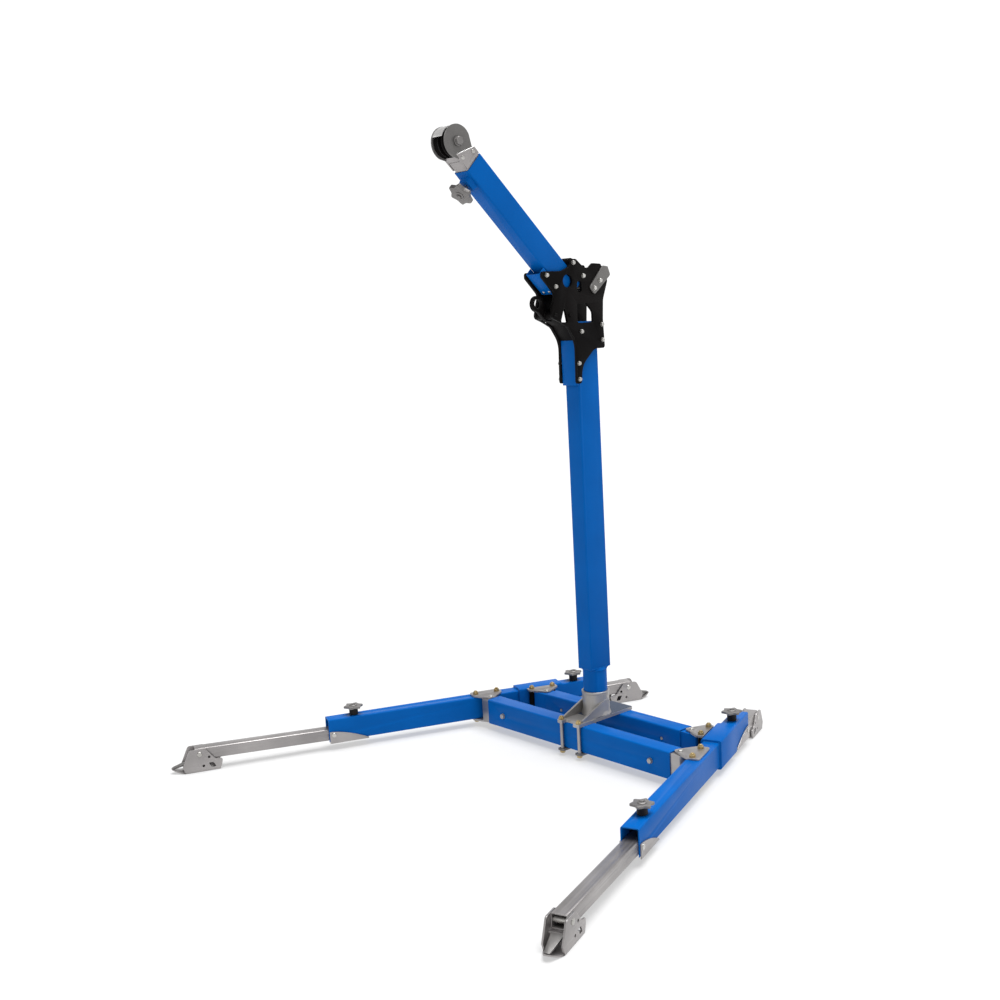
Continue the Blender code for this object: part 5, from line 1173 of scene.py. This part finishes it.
def build_head(mast):
    outline = head_outline()
    cutouts = head_cutouts()
    holes = [circle(spot, HEAD_BOLT_RADIUS + HOLE_FIT) for spot in HEAD_BOLTS.values()]
    pin_holes = [circle(lug_spot(along, 0), LUG_PIN_RADIUS + HOLE_FIT) for along in LUG_PINS]
    outer = PLATE_INNER_X + PLATE_THICKNESS
    plate("head_plate_left", outline, -outer, -PLATE_INNER_X, "YZ", "black_plate", mast,
          cutouts + holes + pin_holes)
    right = plate("head_plate_right", outline, PLATE_INNER_X, outer, "YZ", "black_plate", mast,
                  cutouts + pin_holes)
    for label, (y, z) in HEAD_BOLTS.items():
        bolt = bmesh.new()
        if label == "eye_2":
            for side in SIDES:
                through_bolt(bolt, (side * outer, y, z), (-side, 0, 0), PLATE_THICKNESS, HEAD_BOLT_SHOWN)
        else:
            through_bolt(bolt, (outer, y, z), (-1, 0, 0), 2 * outer, HEAD_BOLT_SHOWN)
        fit(right, bolt, label, "black_plate" if label.startswith("eye") else "bright_zinc")
        if label in SPACERS:
            fit(right, cross_rods([(y, z)], PLATE_INNER_X, SPACERS[label]), label + "_spacer", "black_plate", 0.0005)
    top = MAST_TOP_Z
    web = [(-0.148, top + 0.0185), (-0.089, top - 0.0105), (-0.0574, top - 0.055), (-0.054, top - 0.055),
           (-0.0868, top - 0.0078), (-0.147, top + 0.0215)]
    fit(right, slab(bmesh.new(), web, -PLATE_INNER_X - WELD, PLATE_INNER_X + WELD, "YZ"), "front_web",
        "black_plate", 0.0005)


def build_eye(mast):
    """Anchor eye in front of the head, bolted between the two plates."""
    y, z = EYE_CENTRE
    steps = 40
    arc = [(y + EYE_RADIUS * math.cos(a), z + EYE_RADIUS * math.sin(a), 0)
           for a in [math.radians(45 + 225 * i / steps) for i in range(steps + 1)]]
    first, second = HEAD_BOLTS["eye_1"], HEAD_BOLTS["eye_2"]
    edge = EYE_SPACER_RADIUS + 0.004
    outline = rounded(arc + [(first[0] - 0.006, first[1] - edge, 0.005),
                             (second[0] - EYE_TAIL_SHORT, second[1] - edge, 0.004),
                             (second[0] - EYE_TAIL_SHORT, second[1] + edge, 0.004),
                             (first[0] + 0.008, first[1] + edge + 0.002, 0.012)])
    eye = plate("anchor_eye", outline, -EYE_THICKNESS / 2, EYE_THICKNESS / 2, "YZ", "black_plate", mast,
                [circle((y, z), EYE_HOLE, 40)])
    reach = PLATE_INNER_X - GAP
    fuse(eye, cross_rods([first], reach, EYE_SPACER_RADIUS, 32), "spacer")
    cut(eye, cross_rods([first], 2 * reach, HEAD_BOLT_RADIUS + HOLE_FIT), "hole")


def channel(width, face, depth, outer_round, inner_round):
    """Outline of a channel whose two edges lie on face."""
    half, deep, wall = width / 2 - 0.0005, face - depth, CHANNEL_WALL
    return rounded([(-half, face, 0), (-half, deep, outer_round), (half, deep, outer_round), (half, face, 0),
                    (half - wall, face, 0), (half - wall, deep + wall, inner_round),
                    (wall - half, deep + wall, inner_round), (wall - half, face, 0)], 2)


def build_saddles(mast):
    """Channels between the head plates that the mast and the arm bear on."""
    outline = channel(MAST_WIDTH, -MAST_DEPTH / 2 - GAP, MAST_SADDLE_DEPTH, 0.003, 0.001)
    saddle = plate("mast_saddle", outline, MAST_TOP_Z - MAST_SADDLE_DOWN[0], MAST_TOP_Z - MAST_SADDLE_DOWN[1],
                   "XY", "powder_blue", mast)
    spots = [HEAD_BOLTS["mast_front_1"], HEAD_BOLTS["mast_front_2"]]
    cut(saddle, cross_rods(spots, MAST_WIDTH, HEAD_BOLT_RADIUS - 0.0002), "bolt_holes")

    outline = channel(ARM_WIDTH, -ARM_HEIGHT / 2 - GAP, ARM_SADDLE_DEPTH, 0.004, 0.0015)
    frame = placed((0, ARM_REF_Y, ARM_REF_Z), (math.pi / 2 - ARM_RISE, 0, 0), mast)
    saddle = plate("arm_saddle", outline, *ARM_SADDLE_ENDS, "XY", "powder_blue", frame)
    spots = [(-ARM_BOLT_DROP, along) for along in ARM_BOLTS]
    cut(saddle, cross_rods(spots, ARM_WIDTH, HEAD_BOLT_RADIUS + HOLE_FIT), "bolt_holes")
    screw_y = -ARM_HEIGHT / 2 - GAP - ARM_SADDLE_DEPTH
    for end in SIDES:
        start = (end * ARM_SADDLE_SCREW_X, screw_y, ARM_SADDLE_ENDS[0] + ARM_SADDLE_SCREW_IN)
        fit(saddle, button(bmesh.new(), start, (0, 1, 0), CHANNEL_WALL, ARM_SADDLE_SCREW_RADIUS),
            "screw_" + SIDES[end], "bright_zinc")
    return frame


def build_rear_lug(mast):
    """Folded steel lug over the upper back of the head, with its two pins through the plates."""
    inner = PLATE_INNER_X + PLATE_THICKNESS + GAP
    outer = inner + LUG_WALL
    outline = rounded([(*lug_spot(-0.006, -0.015), 0.008), (*lug_spot(0.086, -0.02), 0.006),
                       (*lug_spot(0.096, 0.006), 0.006), (*lug_spot(0.082, 0.022), 0.004),
                       (*lug_spot(-0.006, 0.015), 0.008)])
    lug = plate("rear_lug", outline, inner, outer, "YZ", "dark_grey", mast)
    fuse(lug, slab(bmesh.new(), outline, -outer, -inner, "YZ"), "other_side")
    web = [lug_spot(0.08, -0.019), lug_spot(0.0935, -0.001), lug_spot(0.089, 0.004), lug_spot(0.076, -0.0155)]
    fuse(lug, slab(bmesh.new(), web, -outer + LUG_WALL / 2, outer - LUG_WALL / 2, "YZ"), "web")
    pins = bmesh.new()
    for along in LUG_PINS:
        through_bolt(pins, (outer, *lug_spot(along, 0)), (-1, 0, 0), 2 * outer, LUG_PIN_RADIUS)
    fit(lug, pins, "pins", "bright_zinc")


# Arm

def build_arm(frame):
    """The arm's own frame has Z along the arm to its tip and Y out of its upper side."""
    arm = tube("arm_tube", ARM_WIDTH, ARM_HEIGHT, ARM_WALL, -ARM_ROOT, ARM_TIP, "XY", (0, 0),
               "powder_blue", frame)
    boss_z = ARM_TIP - CLAMP_KNOB_BACK
    under = -ARM_HEIGHT / 2
    boss_foot = under - CLAMP_BOSS_HEIGHT
    boss = slab(bmesh.new(), rectangle(CLAMP_BOSS_SIZE, CLAMP_BOSS_SIZE, 0.008, (0, boss_z), 3), boss_foot,
                under + WELD, "XZ")
    for vert in boss.verts:
        if vert.co.y < under:
            vert.co.x *= CLAMP_BOSS_TAPER
            vert.co.z = boss_z + (vert.co.z - boss_z) * CLAMP_BOSS_TAPER
    fuse(arm, boss, "clamp_boss")
    cut(arm, rod(bmesh.new(), (0, under + 2 * ARM_WALL, boss_z), (0, boss_foot - CUT_PAST, boss_z),
                 CLAMP_SCREW_RADIUS + HOLE_FIT), "screw_hole")
    inner_face = under + ARM_WALL + RUNNING_FIT
    build_jack_knob("clamp_knob", frame, (0, boss_foot, boss_z), (0, -1, 0), GAP,
                    inner_face - GAP - boss_foot, CLAMP_SCREW_RADIUS, 0.006, 0.002, 1.14)


def build_inner_arm(frame):
    width = ARM_WIDTH - 2 * (ARM_WALL + RUNNING_FIT)
    height = ARM_HEIGHT - 2 * (ARM_WALL + RUNNING_FIT)
    end = ARM_TIP + INNER_OUT
    inner = tube("inner_arm", width, height, INNER_WALL, ARM_TIP - INNER_IN, end, "XY", (0, 0),
                 "bare_aluminium", frame)
    axle_z = end + AXLE_BEYOND
    half = width / 2 + GAP
    bolt_spots = [(side * TIP_BOLT_SPREAD, end - TIP_BOLT_BACK) for side in SIDES]
    sides = 64
    round_end = [(TIP_PLATE_RADIUS * math.cos(a), axle_z + TIP_PLATE_RADIUS * math.sin(a))
                 for a in [math.radians(-20 + 220 * i / sides) for i in range(sides + 1)]]
    root = rounded([(-height / 2 + 0.002, end - 0.004, 0.004), (-height / 2 + 0.006, end - 0.03, 0.006),
                    (height / 2 - 0.006, end - 0.03, 0.006), (height / 2 - 0.002, end - 0.004, 0.004)], 3)
    outline = round_end + root
    holes = [circle((0, axle_z), SHEAVE_BORE + HOLE_FIT)]
    holes += [circle(spot, HEAD_BOLT_RADIUS + HOLE_FIT) for spot in bolt_spots]
    outer = half + TIP_PLATE_THICKNESS
    left = plate("tip_plate_left", outline, -outer + TIP_STEP, -half, "YZ", "dark_grey", frame, holes)
    right = plate("tip_plate_right", outline, half, outer - TIP_STEP, "YZ", "dark_grey", frame, holes[:1])
    mitre = height / 2 * math.tan(TIP_MITRE)
    upper, lower = end + TIP_CUFF - mitre, end + TIP_CUFF + mitre
    cuff = rounded([(-height / 2, end - 0.0295, 0.001), (height / 2, end - 0.0295, 0.001),
                    (height / 2, upper, 0.0015), (-height / 2, lower, 0.0015)])
    face = outer + TIP_STEP / 2
    for piece, sign in ((left, -1), (right, 1)):
        span = sorted((sign * half, sign * face))
        fit(piece, slab(bmesh.new(), cuff, *span, "YZ", holes[2:]), "cuff", "bare_aluminium", 0.0006)
        # A thin near-white rod along each cuff's mitred edge: painted highlight, a bright line where the edge
        # catches the light
        fit(piece, rod(bmesh.new(), (sign * face, height / 2 - 0.001, upper),
                       (sign * face, 0.001 - height / 2, lower), 0.0013, 12), "mitred_edge", "polished")
    rim, steps = TIP_PLATE_RADIUS - 0.0008, 12
    arcs = [[(reach * math.sin(a), axle_z + reach * math.cos(a))
             for a in [TIP_GUARD * (i / steps * 2 - 1) for i in range(steps + 1)]]
            for reach in (rim, rim - 0.0026)]
    fit(left, slab(bmesh.new(), arcs[0] + arcs[1][::-1], -half - 0.001, half - TIP_GUARD_SHORT, "YZ"),
        "rope_guard", "polished", 0.0005)
    low = -height / 2
    under = [(low, end - 0.003), (low + 0.0025, end - 0.003), (low + 0.0025, end + 0.012), (low, end + 0.0155)]
    fit(left, slab(bmesh.new(), under, -half - WELD, half + WELD, "YZ"), "under_cuff", "bare_aluminium", 0.0004)
    cut(inner, cross_rods(bolt_spots[1:], width, HEAD_BOLT_RADIUS + HOLE_FIT), "bolt_hole")
    bolts = pivot_pin(bmesh.new(), (face, *bolt_spots[1]), (-1, 0, 0), 2 * face, HEAD_BOLT_RADIUS * 0.9)
    for side in SIDES:
        button(bolts, (side * face, -TIP_SCREW_DROP, end + 0.001), (-side, 0, 0), TIP_PLATE_THICKNESS,
               HEAD_BOLT_RADIUS * 0.9)
    fit(right, bolts, "bolts", "bright_zinc")
    washer = half - SHEAVE_WIDTH - RUNNING_FIT * 2
    axle = through_bolt(bmesh.new(), (outer, 0, axle_z), (-1, 0, 0), 2 * outer, SHEAVE_BORE - HOLE_FIT,
                        collar=(outer - washer, outer + washer, SHEAVE_WASHER_RADIUS))
    add_object("sheave_axle", axle, "cast_grey", frame)
    build_sheaves(frame, axle_z, washer)


def build_sheaves(frame, axle_z, washer):
    """Two grooved sheaves side by side on the axle, one each side of its collar."""
    turn = Matrix.Rotation(math.radians(90), 4, "Y")
    bore = SHEAVE_BORE + RUNNING_FIT
    half = SHEAVE_WIDTH / 2
    rim, groove, lip = SHEAVE_RADIUS, SHEAVE_RADIUS - SHEAVE_GROOVE, SHEAVE_FLANGE
    hub, dish = SHEAVE_WASHER_RADIUS, 0.0025
    flank = [(bore, -half), (hub, -half), (hub + 0.001, -half + dish), (groove - 0.003, -half + dish),
             (groove - 0.001, -half), (rim, -half)]
    trough = [(groove + (rim - groove) * (1 - math.sin(math.pi * i / 12)) ** 0.8, (half - lip) * (i / 6 - 1))
              for i in range(13)]
    profile = flank + trough + [(radius, -height) for radius, height in reversed(flank)]
    for side in SIDES:
        spin = placed((side * (washer + RUNNING_FIT + half), 0, axle_z), None, frame)
        add_object("sheave_" + SIDES[side], turned(profile, 72, turn), "black_plate", spin, bevel=0.0)


# Studio

CAMERA_LENS = 45.144
CAMERA_X, CAMERA_AHEAD, CAMERA_Z = 2.7453, 2.7468, 1.3684  # ahead of the middle of the base
CAMERA_AXES = (Vector((0.660684, 0.748801, -0.052448)), Vector((-0.071275, 0.132134, 0.988666)),
               Vector((-0.747245, 0.649457, -0.140676)))  # right, up and the way it looks
SUN_ENERGY = 4.2
SUN_WIDTH = math.radians(50)
FLOOR_GLOW = 0.46
SKY_RIM, SKY_TOP = 1.08, 0.3  # its strength at the horizon and overhead
SKY_FADE = (0.28, 0.55)     # heights between which it goes from one to the other


def place_camera():
    data = bpy.data.cameras.new("camera")
    data.sensor_width = 36.0
    data.lens = CAMERA_LENS
    camera = link_object("camera", data)
    turn = Matrix((*CAMERA_AXES[:2], -CAMERA_AXES[2])).transposed().to_4x4()
    camera.matrix_world = Matrix.Translation((CAMERA_X, BASE_Y - CAMERA_AHEAD, CAMERA_Z)) @ turn
    bpy.context.scene.camera = camera


def build_floor():
    """Plain pale floor that goes over into the white of the sky."""
    bm = bmesh.new()
    bmesh.ops.create_grid(bm, x_segments=4, y_segments=4, size=60)
    floor = link_object("floor", mesh_from("floor", bm))
    made = finish("floor", (0.34, 0.34, 0.34), (0.36, 0.36, 0.36), (0.7, 0.85), 0.0, 30, EVEN, 0.02, 0.3,
                  blotch=2.0)
    feed(made.node_tree, made.node_tree.nodes["Principled BSDF"],
         {"Emission Color": (1.0, 1.0, 1.0, 1.0), "Emission Strength": FLOOR_GLOW})
    floor.data.materials.append(made)
    floor.location.z = -0.0005


def build_sky():
    """White round the horizon, dimmer overhead."""
    world = bpy.data.worlds.new("studio")
    world.use_nodes = True
    tree = world.node_tree
    coords = tree.nodes.new("ShaderNodeTexCoord")
    split = add_node(tree, "SeparateXYZ", {"Vector": coords.outputs["Generated"]})
    strength = spread(tree, split.outputs["Z"], SKY_RIM, SKY_TOP, *SKY_FADE)
    feed(tree, tree.nodes["Background"], {"Strength": strength, "Color": (1.0, 1.0, 1.0, 1.0)})
    bpy.context.scene.world = world


def build_studio():
    build_sky()
    bpy.context.scene.view_settings.view_transform = "Standard"
    build_floor()
    data = bpy.data.lights.new("overhead", "SUN")
    data.energy = SUN_ENERGY
    data.angle = SUN_WIDTH
    link_object("overhead", data).rotation_euler = (math.radians(-8), math.radians(6), 0)
    place_camera()


def main():
    base = placed((0, BASE_Y, 0))
    build_beams(base)
    build_inserts(base)
    build_socket(base)
    build_legs(base)
    build_mast(base)
    build_head(base)
    build_eye(base)
    arm_frame = build_saddles(base)
    build_rear_lug(base)
    build_arm(arm_frame)
    build_inner_arm(arm_frame)
    for piece, row in PIECES.items():
        complete(piece, row)
    build_studio()


low_corner, high_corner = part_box("mast_tube")
BASE_Y = (low_corner.y + high_corner.y) / 2
main()
